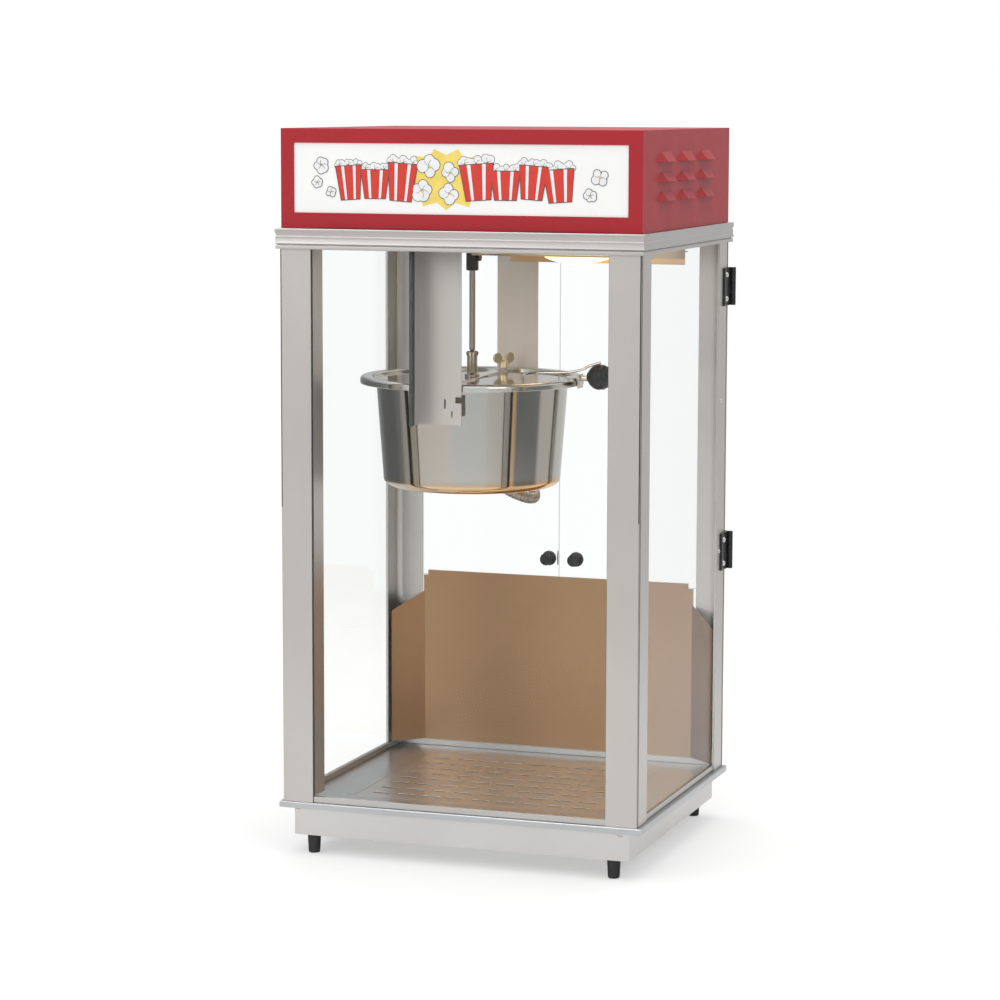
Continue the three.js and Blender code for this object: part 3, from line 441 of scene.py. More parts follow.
looks = {
    "red_paint": red_paint(),
    "aluminium": brushed("aluminium_level", (0.57, 0.56, 0.545), 0.36, LEVEL_GRAIN),
    "stainless": brushed("stainless_level", (0.61, 0.595, 0.575), 0.3, LEVEL_GRAIN),
    "polished_steel": polished("polished_steel", (0.68, 0.64, 0.59), 0.08),
    "kettle_alloy": polished("kettle_alloy", (0.7, 0.675, 0.63), 0.16),
    "glass": clear("glass", (0.992, 1.0, 0.997), 0.0, 1.14, 0.0),
    "acrylic": clear("acrylic", (0.992, 0.998, 1.0), 0.01, 1.14, 0.004),
    "sign_white": sign_white(),
    "black_plastic": plastic("black_plastic", (0.02, 0.021, 0.023), 0.34),
    "black_steel": plastic("black_steel", (0.018, 0.018, 0.02), 0.3),
    "black_rubber": rubber(),
    "steel": polished("bright_steel", (0.58, 0.52, 0.45), 0.16),
    "motor_grey": plastic("motor_grey", (0.2, 0.21, 0.22), 0.45),
    "ceramic": ceramic(),
    "lamp_glass": lamp_glass(),
    "conduit": brushed("conduit_steel", (0.42, 0.365, 0.3), 0.35, (300, 300, 300)),
}
drawn_aluminium = brushed("aluminium_upright", (0.61, 0.59, 0.57), 0.36, UP_GRAIN, 0.06)
deck_steel = brushed("deck_steel", (0.54, 0.555, 0.57), 0.3, LEVEL_GRAIN)
skirt_steel = brushed("skirt_steel", (0.69, 0.685, 0.68), 0.36, LEVEL_GRAIN)
shield_steel = brushed("shield_steel", (0.43, 0.27, 0.155), 0.34, LEVEL_GRAIN)
# The reflector's tan colour is painted light: the lamp's warm glow on its stainless inside.
reflector_painted_lamp_glow = brushed("reflector_painted_lamp_glow", (0.78, 0.56, 0.32), 0.34, LEVEL_GRAIN)
# Dark grey for the dome seal, and for the painted shade of the front glass gap.
seal_and_gap_shade_rubber = plastic("seal_and_gap_shade_grey", (0.05, 0.055, 0.06), 0.5)
nut_steel = polished("wing_nut_steel", (0.95, 0.8, 0.54), 0.3)
screw_steel = polished("screw_steel", (0.82, 0.81, 0.79), 0.22)
shaft_steel = polished("shaft_steel", (0.46, 0.41, 0.36), 0.18)
inks = {
    "yellow": print_ink("ink_yellow", (0.93, 0.72, 0.17)),
    "dark": print_ink("ink_dark", (0.09, 0.08, 0.085)),
    "white": print_ink("ink_white", (0.87, 0.88, 0.9)),
    "cream": print_ink("ink_cream", (0.9, 0.79, 0.52)),
    "red": print_ink("ink_red", (0.68, 0.055, 0.04)),
}


# ---------- CAD nodes ----------
def soften(node, radius, sharpest=40):
    """Rounds a CAD node's edges that turn by more than sharpest degrees, with modifiers alone."""
    if "custom_normal" in node.data.attributes:
        node.data.attributes.remove(node.data.attributes["custom_normal"])
    for polygon in node.data.polygons:
        polygon.use_smooth = True
    weld = node.modifiers.new("weld", "WELD")
    weld.merge_threshold = 0.00001
    flat = node.modifiers.new("flat", "DECIMATE")
    flat.decimate_type = "DISSOLVE"
    flat.angle_limit = math.radians(0.5)
    bevel = node.modifiers.new("bevel", "BEVEL")
    bevel.width = radius
    bevel.segments = 2
    bevel.limit_method = "ANGLE"
    bevel.angle_limit = math.radians(sharpest)
    bevel.use_clamp_overlap = True
    normals = node.modifiers.new("normals", "WEIGHTED_NORMAL")
    normals.keep_sharp = True


def dress_cad_nodes():
    """Gives every CAD node its look and rounds its edges. The dome's louvres turn by small angles."""
    edge_radius = 0.3 * MM
    special = {
        # Painted light: the rear arm is given a much lighter colour than the front arm, though both are the same
        # steel.
        "hanger_arm_front": arm_look("hanger_arm_front", (0.52, 0.49, 0.465)),
        "hanger_arm_rear": arm_look("hanger_arm_rear", (0.82, 0.76, 0.7)),
        "deck_plate": deck_steel,
        "base_skirt": skirt_steel,
        "rear_shield": shield_steel,
        "glass_stop_left": drawn_aluminium,
        "glass_stop_right": drawn_aluminium,
        "lamp_reflector": reflector_painted_lamp_glow,
        "drive_rod": shaft_steel,
    }
    for name, node in frame["nodes"].items():
        look = special.get(name, looks[slot_of[name]])
        if name.startswith("post_"):
            look = drawn_aluminium
        node.data.materials.clear()
        node.data.materials.append(look)
        soften(node, edge_radius, 12 if name == "dome_housing" else 40)


# ---------- Mesh helpers ----------
def piece(name, vertices, faces, look, body, slot, crease=40, replaces=()):
    """A mesh piece in the row frame, in metres, that rides on a body, unless body is None."""
    mesh = bpy.data.meshes.new(name)
    mesh.from_pydata([tuple(v) for v in vertices], [], faces)
    work = bmesh.new()
    work.from_mesh(mesh)
    bmesh.ops.remove_doubles(work, verts=work.verts, dist=1e-6)
    bmesh.ops.recalc_face_normals(work, faces=work.faces)
    work.to_mesh(mesh)
    work.free()
    for polygon in mesh.polygons:
        polygon.use_smooth = True
    mesh.set_sharp_from_angle(angle=math.radians(crease))
    mesh.materials.append(look)
    made = bpy.data.objects.new(name, mesh)
    bpy.context.scene.collection.objects.link(made)
    if body:
        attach(made, body)
    if replaces:
        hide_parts(*replaces)
    return made


def rounded(points, radius, steps=4):
    """An open outline with its inner corners eased over radius, all in the same unit."""
    eased = [Vector(points[0])]
    for before, corner, after in zip(points, points[1:], points[2:]):
        before, corner, after = Vector(before), Vector(corner), Vector(after)
        back, ahead = before - corner, after - corner
        reach = min(radius, 0.45 * back.length, 0.45 * ahead.length)
        start, end = corner + back.normalized() * reach, corner + ahead.normalized() * reach
        for step in range(steps + 1):
            t = step / steps
            eased.append(start * (1 - t) ** 2 + corner * 2 * t * (1 - t) + end * t * t)
    eased.append(Vector(points[-1]))
    return eased


def turned(profile, segments=96):
    """Vertices and faces of a profile of (radius, height) in mm, turned about Z and capped on the axis."""
    vertices, faces, rings = [], [], []
    for radius, height in profile:
        if radius < 1e-6:
            rings.append([len(vertices)] * segments)
            vertices.append(Vector((0, 0, height * MM)))
            continue
        rings.append(range(len(vertices), len(vertices) + segments))
        for i in range(segments):
            angle = 2 * math.pi * i / segments
            vertices.append(Vector((radius * math.cos(angle), radius * math.sin(angle), height)) * MM)
    for lower, upper in zip(rings, rings[1:]):
        for i in range(segments):
            j = (i + 1) % segments
            face = list(dict.fromkeys([lower[i], lower[j], upper[j], upper[i]]))
            if len(face) > 2:
                faces.append(face)
    return vertices, faces


def placed(shape, matrix):
    vertices, faces = shape
    return [matrix @ v for v in vertices], faces


def joined(*shapes):
    vertices, faces = [], []
    for more_vertices, more_faces in shapes:
        start = len(vertices)
        vertices += more_vertices
        faces += [[i + start for i in face] for face in more_faces]
    return vertices, faces


def prism(outline, depth):
    """A flat outline in X and Z, in mm, with its thickness along +Y."""
    count = len(outline)
    front = [Vector((x, 0, z)) * MM for x, z in outline]
    back = [v + Vector((0, depth * MM, 0)) for v in front]
    faces = [list(range(count)), list(reversed(range(count, 2 * count)))]
    faces += [[i, (i + 1) % count, count + (i + 1) % count, count + i] for i in range(count)]
    return front + back, faces


def raised(outline, foot, top):
    """A flat outline in X and Y with its thickness along +Z, from foot to top, all in mm."""
    count = len(outline)
    vertices = [Vector((x, y, z)) * MM for z in (foot, top) for x, y in outline]
    faces = [list(reversed(range(count))), list(range(count, 2 * count))]
    faces += [[i, (i + 1) % count, count + (i + 1) % count, count + i] for i in range(count)]
    return vertices, faces


def block(low, high):
    """A box between two corners, in metres."""
    corners = [
        Vector((x, y, z)) for x in (low[0], high[0]) for y in (low[1], high[1]) for z in (low[2], high[2])
    ]
    return corners, [[0, 1, 3, 2], [4, 6, 7, 5], [0, 4, 5, 1], [2, 3, 7, 6], [0, 2, 6, 4], [1, 5, 7, 3]]


def pointing(direction, place):
    """A transform that turns +Z to a direction and moves to a place."""
    turn = Vector(direction).to_track_quat("Z", "Y").to_matrix().to_4x4()
    return Matrix.Translation(place) @ turn


def round_edges(thing, radius):
    """Rounds the sharp edges of a piece."""
    bevel = thing.modifiers.new("bevel", "BEVEL")
    bevel.width = radius
    bevel.segments = 3
    bevel.limit_method = "ANGLE"
    bevel.angle_limit = math.radians(40)
    normals = thing.modifiers.new("normals", "WEIGHTED_NORMAL")
    normals.keep_sharp = True


def smooth_route(points, count):
    """count points along a Catmull-Rom curve through points."""
    points = [Vector(p) for p in points]
    ends = [2 * points[0] - points[1]] + points + [2 * points[-1] - points[-2]]
    spans = len(points) - 1
    route = []
    for i in range(count):
        t = i / (count - 1) * spans
        k = min(int(t), spans - 1)
        u = t - k
        a, b, c, d = ends[k:k + 4]
        route.append(0.5 * (2 * b + (c - a) * u + (2 * a - 5 * b + 4 * c - d) * u * u
                            + (3 * b - a - 3 * c + d) * u ** 3))
    return route


def swept(points, radius, sides, count, ripple=0.0, pitch=1.0):
    """A capped round tube along a smooth route. ripple and pitch give it a wound, ridged surface."""
    route = smooth_route(points, count)
    vertices, faces = [], []
    across = (route[1] - route[0]).orthogonal().normalized()
    travelled = 0.0
    for i, here in enumerate(route):
        ahead = route[min(i + 1, count - 1)] - route[max(i - 1, 0)]
        ahead.normalize()
        across = (across - ahead * across.dot(ahead)).normalized()
        other = ahead.cross(across)
        if i:
            travelled += (here - route[i - 1]).length
        for j in range(sides):
            angle = 2 * math.pi * j / sides
            wave = 0.5 + 0.5 * math.cos(2 * math.pi * travelled / pitch - angle)
            size = radius - ripple * (1 - wave ** 0.6)
            vertices.append(here + size * (across * math.cos(angle) + other * math.sin(angle)))
    for i in range(count - 1):
        for j in range(sides):
            k = (j + 1) % sides
            faces.append([i * sides + j, i * sides + k, (i + 1) * sides + k, (i + 1) * sides + j])
    faces.append(list(reversed(range(sides))))
    faces.append([(count - 1) * sides + j for j in range(sides)])
    return vertices, faces


# ---------- Kettle ----------
def kettle_jacket():
    """The polished jacket: a drawn cup with a soft foot, and the two bearing lugs under the rim."""
    foot = jacket_foot
    outer = [(0, foot), (98, foot), (106, foot + 6), (106.4, foot + 14), (114.5, 546.7)]
    inner = [(113.3, 546.7), (105, foot + 14), (104, foot + 7), (97, foot + 1.2), (0, foot + 1.2)]
    profile = rounded(outer, 9, 8) + inner
    low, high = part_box("kettle_shell")
    cup = placed(turned(profile, 160), Matrix.Translation((kettle_axis.x, kettle_axis.y, 0)))
    piece("kettle_jacket", *cup, jacket_steel(), "kettle", "polished_steel", 50, ["kettle_shell"])
    lugs = []
    half_width, reach_in, below, above = 9 * MM, 20 * MM, 12 * MM, 7 * MM
    for y0, y1 in ((low.y, low.y + reach_in), (high.y - reach_in, high.y)):
        lugs.append(block((tilt_axis.x - half_width, y0, tilt_axis.z - below),
                          (tilt_axis.x + half_width, y1, tilt_axis.z + above)))
    bearing = piece("tilt_lugs", *joined(*lugs), looks["polished_steel"], "kettle", "polished_steel")
    round_edges(bearing, 1.2 * MM)


def kettle_brim():
    """The popping pan with its brim, the brim's rolled-down edge and the lid seat."""
    outside = [(0, 452), (94, 452), (101, 456), (109, 545), (109, 549), (120, 549), (121, 553.5)]
    lip = [(131.5, 553.2), (132.2, 547.2), (133.8, 547.2), (134, 553), (131.5, 556), (118.5, 555.6)]
    inside = [(118.5, 550.7), (107.5, 550.7), (107.5, 546), (100, 458), (93, 454), (0, 454)]
    profile = rounded(outside + lip + inside, 2.2, 4)
    shape = placed(turned(profile, 160), Matrix.Translation((kettle_axis.x, kettle_axis.y, 0)))
    piece("kettle_brim", *shape, looks["kettle_alloy"], "kettle", "kettle_alloy", 50, ["kettle_pan"])


def ball_knob():
    """The dumping handle's knob: a ball with a neck and two moulded grooves."""
    low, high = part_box("handle_knob")
    centre = (low + high) / 2
    radius = (high.z - low.z) / 2 / MM
    profile = [(0, -radius), (5.5, -radius + 0.3), (6.5, -radius + 2)]
    for step in range(1, 20):
        angle = math.radians(-62 + step * 7.6)
        dent = 0.7 if step in (9, 15) else 0
        profile.append(((radius - dent) * math.cos(angle), (radius - dent) * math.sin(angle)))
    profile.append((0, radius))
    shape = placed(turned(profile, 72), pointing((1, 0, 0), centre))
    piece("ball_knob", *shape, looks["black_plastic"], "kettle", "black_plastic", 30, ["handle_knob"])


def wing_nut(name, place):
    """A wing nut: a hub with two rounded wings, on a stud."""
    twist = 56
    hub_radius, wing_thickness = 3.2, 2.6
    hub = rounded([(0, 0), (6, 0), (5, 8), (hub_radius, 9.5), (hub_radius, 13), (0, 13.5)], 1)
    shapes = [placed(turned(hub, 40), Matrix.Translation(place))]
    turn = Matrix.Translation(place) @ Matrix.Rotation(math.radians(twist), 4, "Z")
    for side in (-1, 1):
        lobe = [(hub_radius * side, 2)]
        for step in range(13):
            angle = math.radians(-100 + step * 22)
            lobe.append((side * (9.4 + 6.2 * math.cos(angle)), 12.6 + 6.4 * math.sin(angle)))
        lobe.append((hub_radius * side, 9))
        centred = turn @ Matrix.Translation((0, -wing_thickness / 2 * MM, 0))
        shapes.append(placed(prism(lobe, wing_thickness), centred))
    made = piece(name, *joined(*shapes), nut_steel, "kettle", "steel", 35)
    round_edges(made, 0.5 * MM)


def wing_nuts():
    """The two wing nuts that hold the bridge over the lids, each on its washer."""
    _, bridge_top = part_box("kettle_bridge")
    reach, washer_height = 104 * MM, 2.4
    outline = [(0, 0), (6.8, 0), (6.8, 1.1), (4.6, 1.1), (4.6, washer_height), (0, washer_height)]
    for end, side, shift in (("front", -1, 0), ("rear", 1, 4 * MM)):
        place = Vector((kettle_axis.x + shift, kettle_axis.y + side * reach, bridge_top.z))
        washer = placed(turned(outline, 32), Matrix.Translation(place))
        piece("wing_washer_" + end, *washer, looks["polished_steel"], "kettle", "steel", 35)
        wing_nut("wing_nut_" + end, place + Vector((0, 0, washer_height * MM)))


def lid_wire():
    """The flap's lifting wire, which runs out over the brim and past the top of the knob."""
    knob_low, knob_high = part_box("handle_knob")
    _, lid_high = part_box("lid_flap")
    y = kettle_axis.y - 6 * MM
    start = kettle_axis.x + 66 * MM
    route = [
        (start, y, lid_high.z - 1.6 * MM), (start + 1 * MM, y, lid_high.z + 4 * MM),
        (start + 12 * MM, y, lid_high.z + 7.5 * MM), (knob_low.x - 26 * MM, y, lid_high.z + 9.5 * MM),
        (knob_low.x - 6 * MM, y, lid_high.z + 13 * MM), (knob_low.x + 4 * MM, y, knob_high.z - 2 * MM),
        (knob_low.x + 18 * MM, y, knob_high.z + 2.4 * MM),
    ]
    piece("lid_wire", *swept(route, 1.5 * MM, 12, 48), looks["polished_steel"], "flap", "polished_steel")


# ---------- Lamp and feet ----------
def flood_lamp():
    """A flood lamp bulb: a domed face below, a bell that narrows upwards, and its neck."""
    low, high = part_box("flood_lamp")
    outline = [
        (0, 0), (24, 1.2), (40, 7), (44, 14), (43, 24), (37, 42),
        (27, 62), (17, 80), (13, 92), (13, 112), (0, 114),
    ]
    centre = (low + high) / 2
    shape = placed(turned(rounded(outline, 8, 5)), Matrix.Translation((centre.x, centre.y, low.z)))
    piece("lamp_bulb", *shape, looks["lamp_glass"], "cabinet", "lamp_glass", 60, ["flood_lamp"])


def feet():
    """Rubber feet, each narrower towards the table."""
    for node in [n for n in frame["nodes"] if n.startswith("foot_")]:
        low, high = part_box(node)
        top = (high.z - low.z) / MM
        outline = [(0, 0.4), (4.6, 0), (6.4, 0), (6.9, 2), (7.8, top - 2.5), (7.8, top), (0, top)]
        profile = rounded(outline, 0.8, 3)
        centre = (low + high) / 2
        shape = placed(turned(profile, 48), Matrix.Translation((centre.x, centre.y, low.z)))
        name = node.replace("foot", "rubber_foot")
        piece(name, *shape, looks["black_rubber"], "cabinet", "black_rubber", 30, [node])


# ---------- Sign ----------
class Print:
    """Flat inked shapes laid over one another on the sign. Places are in mm from the sign's middle."""

    first_depth = 0.1
    layer_depth = 0.06
    shape_depth = 0.002
    shapes_in_a_row = 28

    def __init__(self, middle):
        self.middle = middle
        self.shapes = {ink: ([], []) for ink in inks}
        self.laid = 0

    def polygon(self, ink, layer, outline):
        vertices, faces = self.shapes[ink]
        start = len(vertices)
        # Each shape lies a hair in front of the last, so that shapes of one layer never share a plane.
        hair = self.shape_depth * (self.laid % self.shapes_in_a_row)
        depth = -(self.first_depth + self.layer_depth * layer + hair) * MM
        self.laid += 1
        vertices += [self.middle + Vector((x * MM, depth, z * MM)) for x, z in outline]
        faces.append(list(range(start, start + len(outline))))

    def disc(self, ink, layer, x, z, radius):
        steps = 28
        angles = [2 * math.pi * i / steps for i in range(steps)]
        self.polygon(ink, layer, [(x + radius * math.cos(a), z + radius * math.sin(a)) for a in angles])

    def arc(self, ink, layer, x, z, radius, start, end, thickness):
        steps = 10
        angles = [math.radians(start + (end - start) * i / steps) for i in range(steps + 1)]
        hollow = radius - thickness
        outer = [(x + radius * math.cos(a), z + radius * math.sin(a)) for a in angles]
        inner = [(x + hollow * math.cos(a), z + hollow * math.sin(a)) for a in angles]
        self.polygon(ink, layer, outer + inner[::-1])

    def popped(self, x, z, size, layer=6, line=0.7):
        """One popped kernel: a ring of round lobes with a dark outline and a few creases."""
        lobes = random.choice((4, 5, 5))
        turn = random.uniform(0, 360)
        spots = []
        for i in range(lobes):
            angle = math.radians(turn + 360 * i / lobes + random.uniform(-14, 14))
            reach = size * random.uniform(0.46, 0.6)
            radius = size * random.uniform(0.42, 0.56)
            spots.append((x + reach * math.cos(angle), z + reach * math.sin(angle), radius))
        for spot_x, spot_z, radius in spots:
            self.disc("dark", layer, spot_x, spot_z, radius + line)
        for spot_x, spot_z, radius in spots:
            self.disc("white", layer + 1, spot_x, spot_z, radius)
        self.disc("white", layer + 1, x, z, size * 0.45)
        self.disc("cream", layer + 2, x + size * 0.06, z - size * 0.04, size * 0.2)
        for spot_x, spot_z, radius in spots:
            outwards = math.degrees(math.atan2(spot_z - z, spot_x - x))
            self.arc("dark", layer + 3, spot_x, spot_z, radius, outwards + 105, outwards + 190, 0.6 * line)

    def tub(self, x, z, width, height, tilt):
        """A striped tub that widens upwards, with popcorn showing over its top. z is its foot."""
        cosine, sine = math.cos(math.radians(tilt)), math.sin(math.radians(tilt))

        def placed_at(u, v):
            """u runs across from -0.5 to 0.5 and v up from 0 to 1."""
            across = u * width * (0.74 + 0.26 * v)
            up = v * height
            return (x + across * cosine - up * sine, z + across * sine + up * cosine)

        for u in (-0.34, 0.0, 0.34):
            top_x, top_z = placed_at(u, 1.04)
            self.popped(top_x, top_z, width * 0.21, layer=1, line=0.6)
        edge_u, edge_v = 0.9 / width, 0.9 / height
        self.polygon("dark", 6, [placed_at(-0.5 - edge_u, -edge_v), placed_at(0.5 + edge_u, -edge_v),
                                 placed_at(0.5 + edge_u, 1 + edge_v), placed_at(-0.5 - edge_u, 1 + edge_v)])
        self.polygon("red", 7, [placed_at(-0.5, 0), placed_at(0.5, 0), placed_at(0.5, 1), placed_at(-0.5, 1)])
        half_stripe = 0.055
        for u in (-0.23, 0.23):
            self.polygon("white", 8, [placed_at(u - half_stripe, 0), placed_at(u + half_stripe, 0),
                                      placed_at(u + half_stripe, 1), placed_at(u - half_stripe, 1)])

    def burst(self, x, z, reach_x, reach_z, spikes):
        """A star with many short spikes."""
        outline = []
        for i in range(2 * spikes):
            angle = math.pi * i / spikes + 0.12
            share = 1.0 if i % 2 else 0.78
            outline.append((x + share * reach_x * math.cos(angle), z + share * reach_z * math.sin(angle)))
        self.polygon("yellow", 0, outline)

    def finish(self):
        """Makes one piece of each ink."""
        for ink, (vertices, faces) in self.shapes.items():
            piece(f"sign_{ink}", vertices, faces, inks[ink], "cabinet", "sign_white")


def sign_print():
    """Plain popcorn artwork: tubs on both sides of a yellow burst of popped corn."""
    low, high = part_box("sign_panel")
    art = Print(Vector(((low.x + high.x) / 2, low.y, (low.z + high.z) / 2)))
    art.burst(-15, 0, 60, 35, 13)
    for x, z, width, height, tilt in (
        (-131, -24, 31, 38, 4), (-101, -22.5, 34, 32, 0), (-70, -25, 35, 42, -4),
        (24, -23, 40, 40, 4), (56, -22.5, 35, 32, 0), (87, -21.5, 33, 37, -4), (121, -24, 36, 36, 4),
    ):
        art.tub(x, z, width, height, tilt)
    for x, z, size in ((-36, 14, 13), (-10, 8, 11), (-44, -13, 12), (-11, -16, 11.5)):
        art.popped(x, z, size)
    for x, z, size in ((-167, 15, 9), (-172, -5, 6.5), (-155, -16, 6), (167, 4, 9.5), (156, -16.5, 7)):
        art.popped(x, z, size, line=0.8)
    art.finish()


# ---------- Kettle lead ----------
def kettle_lead():
    """An armoured conduit from the kettle's fitting up behind the rear arm."""
    stops = [
        (-60, 72, 416.5), (-51, 75, 416.5), (-35, 80.3, 411), (-20, 85.3, 403.5), (-9, 92, 399),
        (-4, 102.5, 398), (-7, 115, 401), (-14, 127, 409), (-22, 137, 421), (-29, 145, 438),
        (-34, 150, 460), (-37, 152, 490), (-38, 152, 530), (-38, 152, 575), (-38, 152, 620),
        (-38, 152, 670), (-38, 152, 720),
    ]
    route = [middle_foot + Vector(stop) * MM for stop in stops]
    count = 560
    radius = 7 * MM
    tube = swept(route, radius, 20, count, 0.7 * MM, 3.9 * MM)
    lead = piece("armoured_lead", *tube, looks["conduit"], None, "conduit", 60, ["kettle_lead"])
    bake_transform(lead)


# ---------- Fastenings ----------
def screw_head(radius, rise):
    """A pan head with a round dimple for the driver, standing on its own origin."""
    outline = [
        (radius, 0), (radius, rise * 0.35), (radius * 0.62, rise),
        (radius * 0.4, rise), (radius * 0.3, rise * 0.45), (0, rise * 0.4),
    ]
    return turned(rounded(outline, radius * 0.25, 3), 32)


def screws(name, heads, radius, rise, look, body, slot):
    """heads is a list of (place, direction) in metres."""
    shapes = [placed(screw_head(radius, rise), pointing(direction, place)) for place, direction in heads]
    piece(name, *joined(*shapes), look, body, slot, 35)


def hinge_details():
    """Screws in both leaves of every hinge."""
    from_end, from_edge, leaf = 8.5 * MM, 7.5 * MM, 2.3 * MM
    door_reach, door_leaf = 8 * MM, 2 * MM
    for place in ("upper", "lower"):
        for hand, side in (("left", -1), ("right", 1)):
            low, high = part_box(f"hinge_{place}_{hand}_post")
            post_low, post_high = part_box("post_rear_" + hand)
            face_x = (post_high.x if side > 0 else post_low.x) + side * leaf
            heights = [low.z + from_end, high.z - from_end]
            heads = [(Vector((face_x, low.y + from_edge, z)), (side, 0, 0)) for z in heights]
            screws(f"screws_post_{place}_{hand}", heads, 3.3, 1.9, screw_steel, "cabinet", "steel")
            door_low, door_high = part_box(f"hinge_{place}_{hand}_door")
            inner = door_low.x if side > 0 else door_high.x
            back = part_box("door_" + hand)[1].y + door_leaf
            heads = [(Vector((inner + side * door_reach, back, z)), (0, 1, 0)) for z in heights]
            screws(f"screws_door_{place}_{hand}", heads, 3.1, 1.7, screw_steel, f"door_{hand}", "steel")


def cabinet_rivets():
    """Rivets down the side leg of each rear post, and screws in the corners of the rear panel."""
    inset = 12 * MM
    rivet_heights = (0.335, 0.52)
    for hand, side in (("left", -1), ("right", 1)):
        low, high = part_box("post_rear_" + hand)
        face = high.x if side > 0 else low.x
        heads = [(Vector((face, low.y + inset, z)), (side, 0, 0)) for z in rivet_heights]
        screws(f"rivets_post_{hand}", heads, 2.4, 1.0, screw_steel, "cabinet", "steel")
    panel_low, panel_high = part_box("rear_panel")
    heads = []
    for x in (panel_low.x + inset, panel_high.x - inset):
        for z in (panel_low.z + inset, panel_high.z - inset):
            heads.append((Vector((x, panel_high.y, z)), (0, 1, 0)))
    screws("panel_screws", heads, 3.4, 1.8, screw_steel, "cabinet", "steel")


def door_pulls():
    """The round black knobs on the rear doors."""
    outline = [
        (0, 0), (7.6, 0), (7.6, 1.6), (4.4, 3.4), (4.4, 8.6),
        (9.3, 12.4), (9.5, 16), (7.4, 19), (3, 19.5), (0, 19.3),
    ]
    profile = rounded(outline, 1.6, 4)
    for hand in ("left", "right"):
        node = "door_pull_" + hand
        low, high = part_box(node)
        centre = (low + high) / 2
        shape = placed(turned(profile, 56), pointing((0, 1, 0), Vector((centre.x, low.y, centre.z))))
        piece("knob_" + hand, *shape, looks["black_plastic"], "door_" + hand, "black_plastic", 40, [node])


# ---------- Drive ----------
def shaft_coupling():
    """The black coupling on the output shaft, with its knurled clamping screw."""
    low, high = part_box("shaft_coupling")
    bottom = low.z / MM
    top = high.z / MM
    bore, waist, radius = 3.9, 6.6, 7.4
    outline = [
        (bore, bottom), (waist, bottom), (radius, bottom + 1), (radius, top - 1), (waist, top), (bore, top),
    ]
    profile = rounded(outline, 0.8, 3)
    profile.append(profile[0])
    hub = placed(turned(profile, 48), Matrix.Translation((kettle_axis.x, kettle_axis.y, 0)))
    screw_z, screw_radius, groove, screw_length = 697 * MM, 4.6, 0.45, 3.9
    head = []
    ribs, ring = 18, 4
    for i in range(ribs * ring):
        angle = 2 * math.pi * i / (ribs * ring)
        size = screw_radius - groove * (i % ring in (0, 1))
        head.append((size * math.cos(angle), size * math.sin(angle)))
    turn = pointing((1, 0, 0), Vector((kettle_axis.x + waist * MM, kettle_axis.y, screw_z)))
    knurled = placed(raised(head, 0, screw_length), turn)
    piece("coupling_hub", *joined(hub, knurled), looks["black_plastic"], "drive", "black_plastic", 35,
          ["shaft_coupling"])


def rod_tip():
    """The tapered end of the drive rod, which sits in the mouth of the stirrer's socket."""
    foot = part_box("drive_rod")[0].z / MM
    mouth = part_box("stirrer")[1].z / MM
    shank, neck, point = 3.4, 2.1, 1.2
    sunk, overlap = 1.8, 3
    profile = [
        (0, mouth - sunk), (point, mouth - sunk), (neck, mouth),
        (shank, foot), (shank, foot + overlap), (0, foot + overlap),
    ]
    tip = placed(turned(profile, 32), Matrix.Translation((kettle_axis.x, kettle_axis.y, 0)))
    piece("rod_tip", *tip, shaft_steel, "drive", "steel", 35)


# ---------- Back of the dome ----------
def cord_gland():
    """A ribbed bushing with a hexagonal nut, and a bore for the cord."""
    low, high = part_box("cord_gland")
    centre = (low + high) / 2
    place = Vector((centre.x, low.y, centre.z))
    depth = (high.y - low.y) / MM
    seat = depth - 5.5
    bore, barrel, rib, flange = 4.5, 8.6, 8.1, 10.2
    profile = [(bore, 0), (barrel, 0)]
    for step in range(5):
        profile += [(barrel, 1.2 + step * 2), (rib, 2.0 + step * 2)]
    nut_foot, nut_top = seat + 0.3, seat + 3.0
    profile += [(barrel, nut_foot), (flange, nut_top), (flange, nut_top + 0.4)]
    profile += [(8.4, depth - 0.2), (bore, depth), (bore, 0)]
    bushing = placed(turned(profile, 48), pointing((0, 1, 0), place))
    nut_radius = 13
    corners = [math.radians(60 * i) for i in range(6)]
    nut = [(nut_radius * math.cos(angle), nut_radius * math.sin(angle)) for angle in corners]
    hexagon = placed(raised(nut, nut_foot, nut_top), pointing((0, 1, 0), place))
    piece("gland_bushing", *joined(bushing, hexagon), looks["black_plastic"], "cabinet", "black_plastic", 30,
          ["cord_gland"])


def motor_details():
    """Screws in the gear case's corners and round the motor's end cap."""
    low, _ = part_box("gear_motor")
    case_top = low.z + 44 * MM
    cap_height = low.z + 32 * MM
    half_width, half_depth = 26 * MM, 31 * MM
    heads = []
    for x in (kettle_axis.x - half_width, kettle_axis.x + half_width):
        for y in (kettle_axis.y - half_depth, kettle_axis.y + half_depth):
            heads.append((Vector((x, y, case_top)), (0, 0, 1)))
    screws("gear_case_screws", heads, 3.4, 2.0, screw_steel, "cabinet", "steel")
    ring = 15 * MM
    heads = []
    for i in range(4):
        angle = math.radians(45 + 90 * i)
        y = kettle_axis.y + ring * math.cos(angle)
        heads.append((Vector((low.x, y, cap_height + ring * math.sin(angle))), (-1, 0, 0)))
    screws("motor_cap_screws", heads, 2.6, 1.6, screw_steel, "cabinet", "steel")
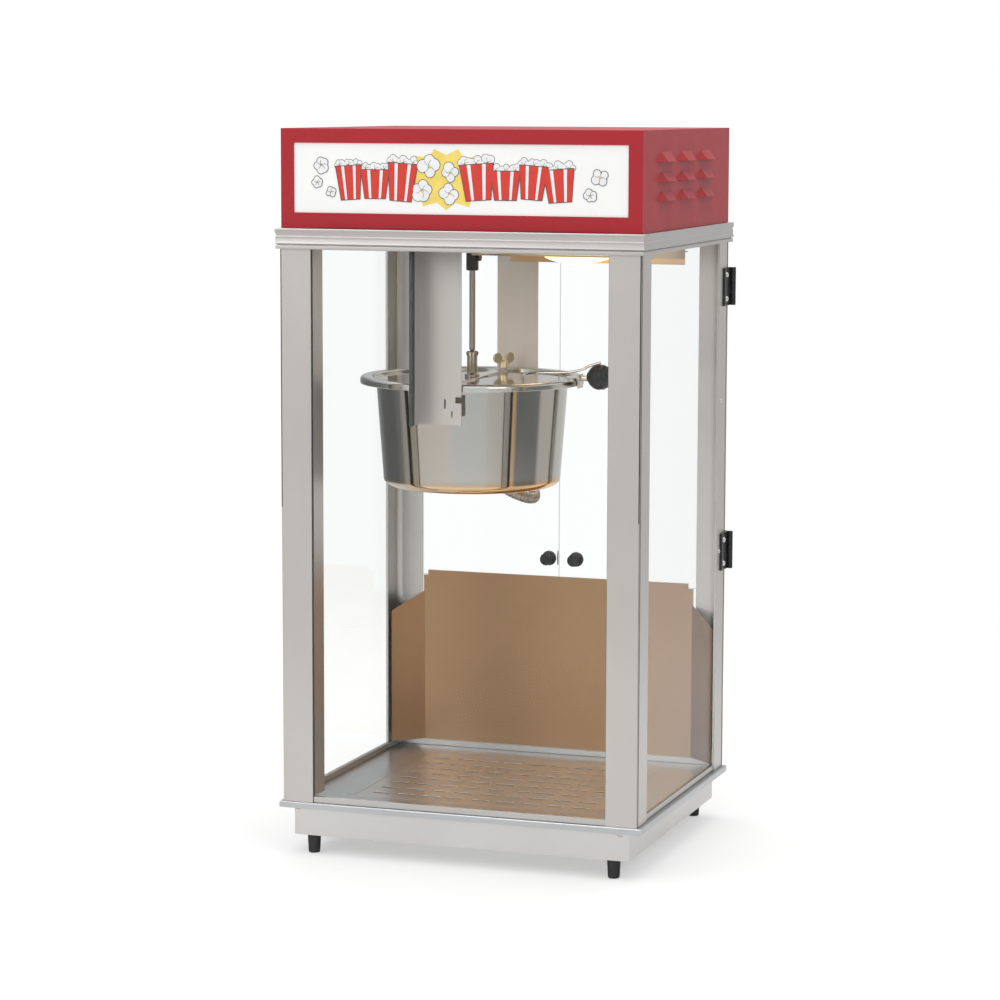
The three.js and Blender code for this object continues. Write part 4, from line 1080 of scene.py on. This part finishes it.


# ---------- Painted shade strips and the dome seal ---
def glass_gap_shade():
    """A dark strip along both uprights of the front pane: painted shade for the shadowed gap between the glass and
    the posts.
    """
    low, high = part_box("glass_front")
    inner_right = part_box("post_front_right")[0].x
    inner_left = 2 * middle.x - inner_right
    reveal = 1.1 * MM
    front = low.y - 0.2 * MM
    sides = (inner_left, inner_right)
    strips = [block((x - reveal, front, low.z), (x + reveal, low.y, high.z)) for x in sides]
    piece("front_glass_gap_shade", *joined(*strips), seal_and_gap_shade_rubber, "cabinet", "black_rubber")


def corner_groove_shade():
    """A narrow black strip where the front and side legs of each front post meet, below the cornice: painted shade
    for the shadow in the groove there.
    """
    length, width, proud, depth = 0.3, 1.1 * MM, 0.05 * MM, 0.4 * MM
    for hand, side in (("left", -1), ("right", 1)):
        low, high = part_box("post_front_" + hand)
        corner = high.x if side > 0 else low.x
        top = cornice_low.z
        x0, x1 = sorted((corner - side * width, corner + side * proud))
        strip = block((x0, low.y - proud, top - length), (x1, low.y + depth, top))
        piece("post_groove_shade_" + hand, *strip, looks["black_rubber"], "cabinet", "black_rubber")


def dome_seal():
    """A dark seal behind the joint of the dome and the cornice, along all four sides."""
    dome_low, dome_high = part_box("dome_housing")
    inset, width = 0.9 * MM, 4 * MM
    x0, x1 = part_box("post_front_left")[0].x + inset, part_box("post_front_right")[1].x - inset
    y0, y1 = dome_low.y + inset, dome_high.y - inset
    foot, top = cornice_high.z - 0.5 * MM, dome_low.z + 1 * MM
    strips = [
        block((x0, y0, foot), (x1, y0 + width, top)),
        block((x0, y1 - width, foot), (x1, y1, top)),
        block((x0, y0 + width, foot), (x0 + width, y1 - width, top)),
        block((x1 - width, y0 + width, foot), (x1, y1 - width, top)),
    ]
    piece("dome_seal", *joined(*strips), seal_and_gap_shade_rubber, "cabinet", "black_rubber")


make_stage()
dress_cad_nodes()
kettle_lead()
sign_print()
kettle_jacket()
kettle_brim()
ball_knob()
wing_nuts()
lid_wire()
flood_lamp()
shaft_coupling()
rod_tip()
hinge_details()
cabinet_rivets()
door_pulls()
cord_gland()
motor_details()
glass_gap_shade()
corner_groove_shade()
dome_seal()
feet()
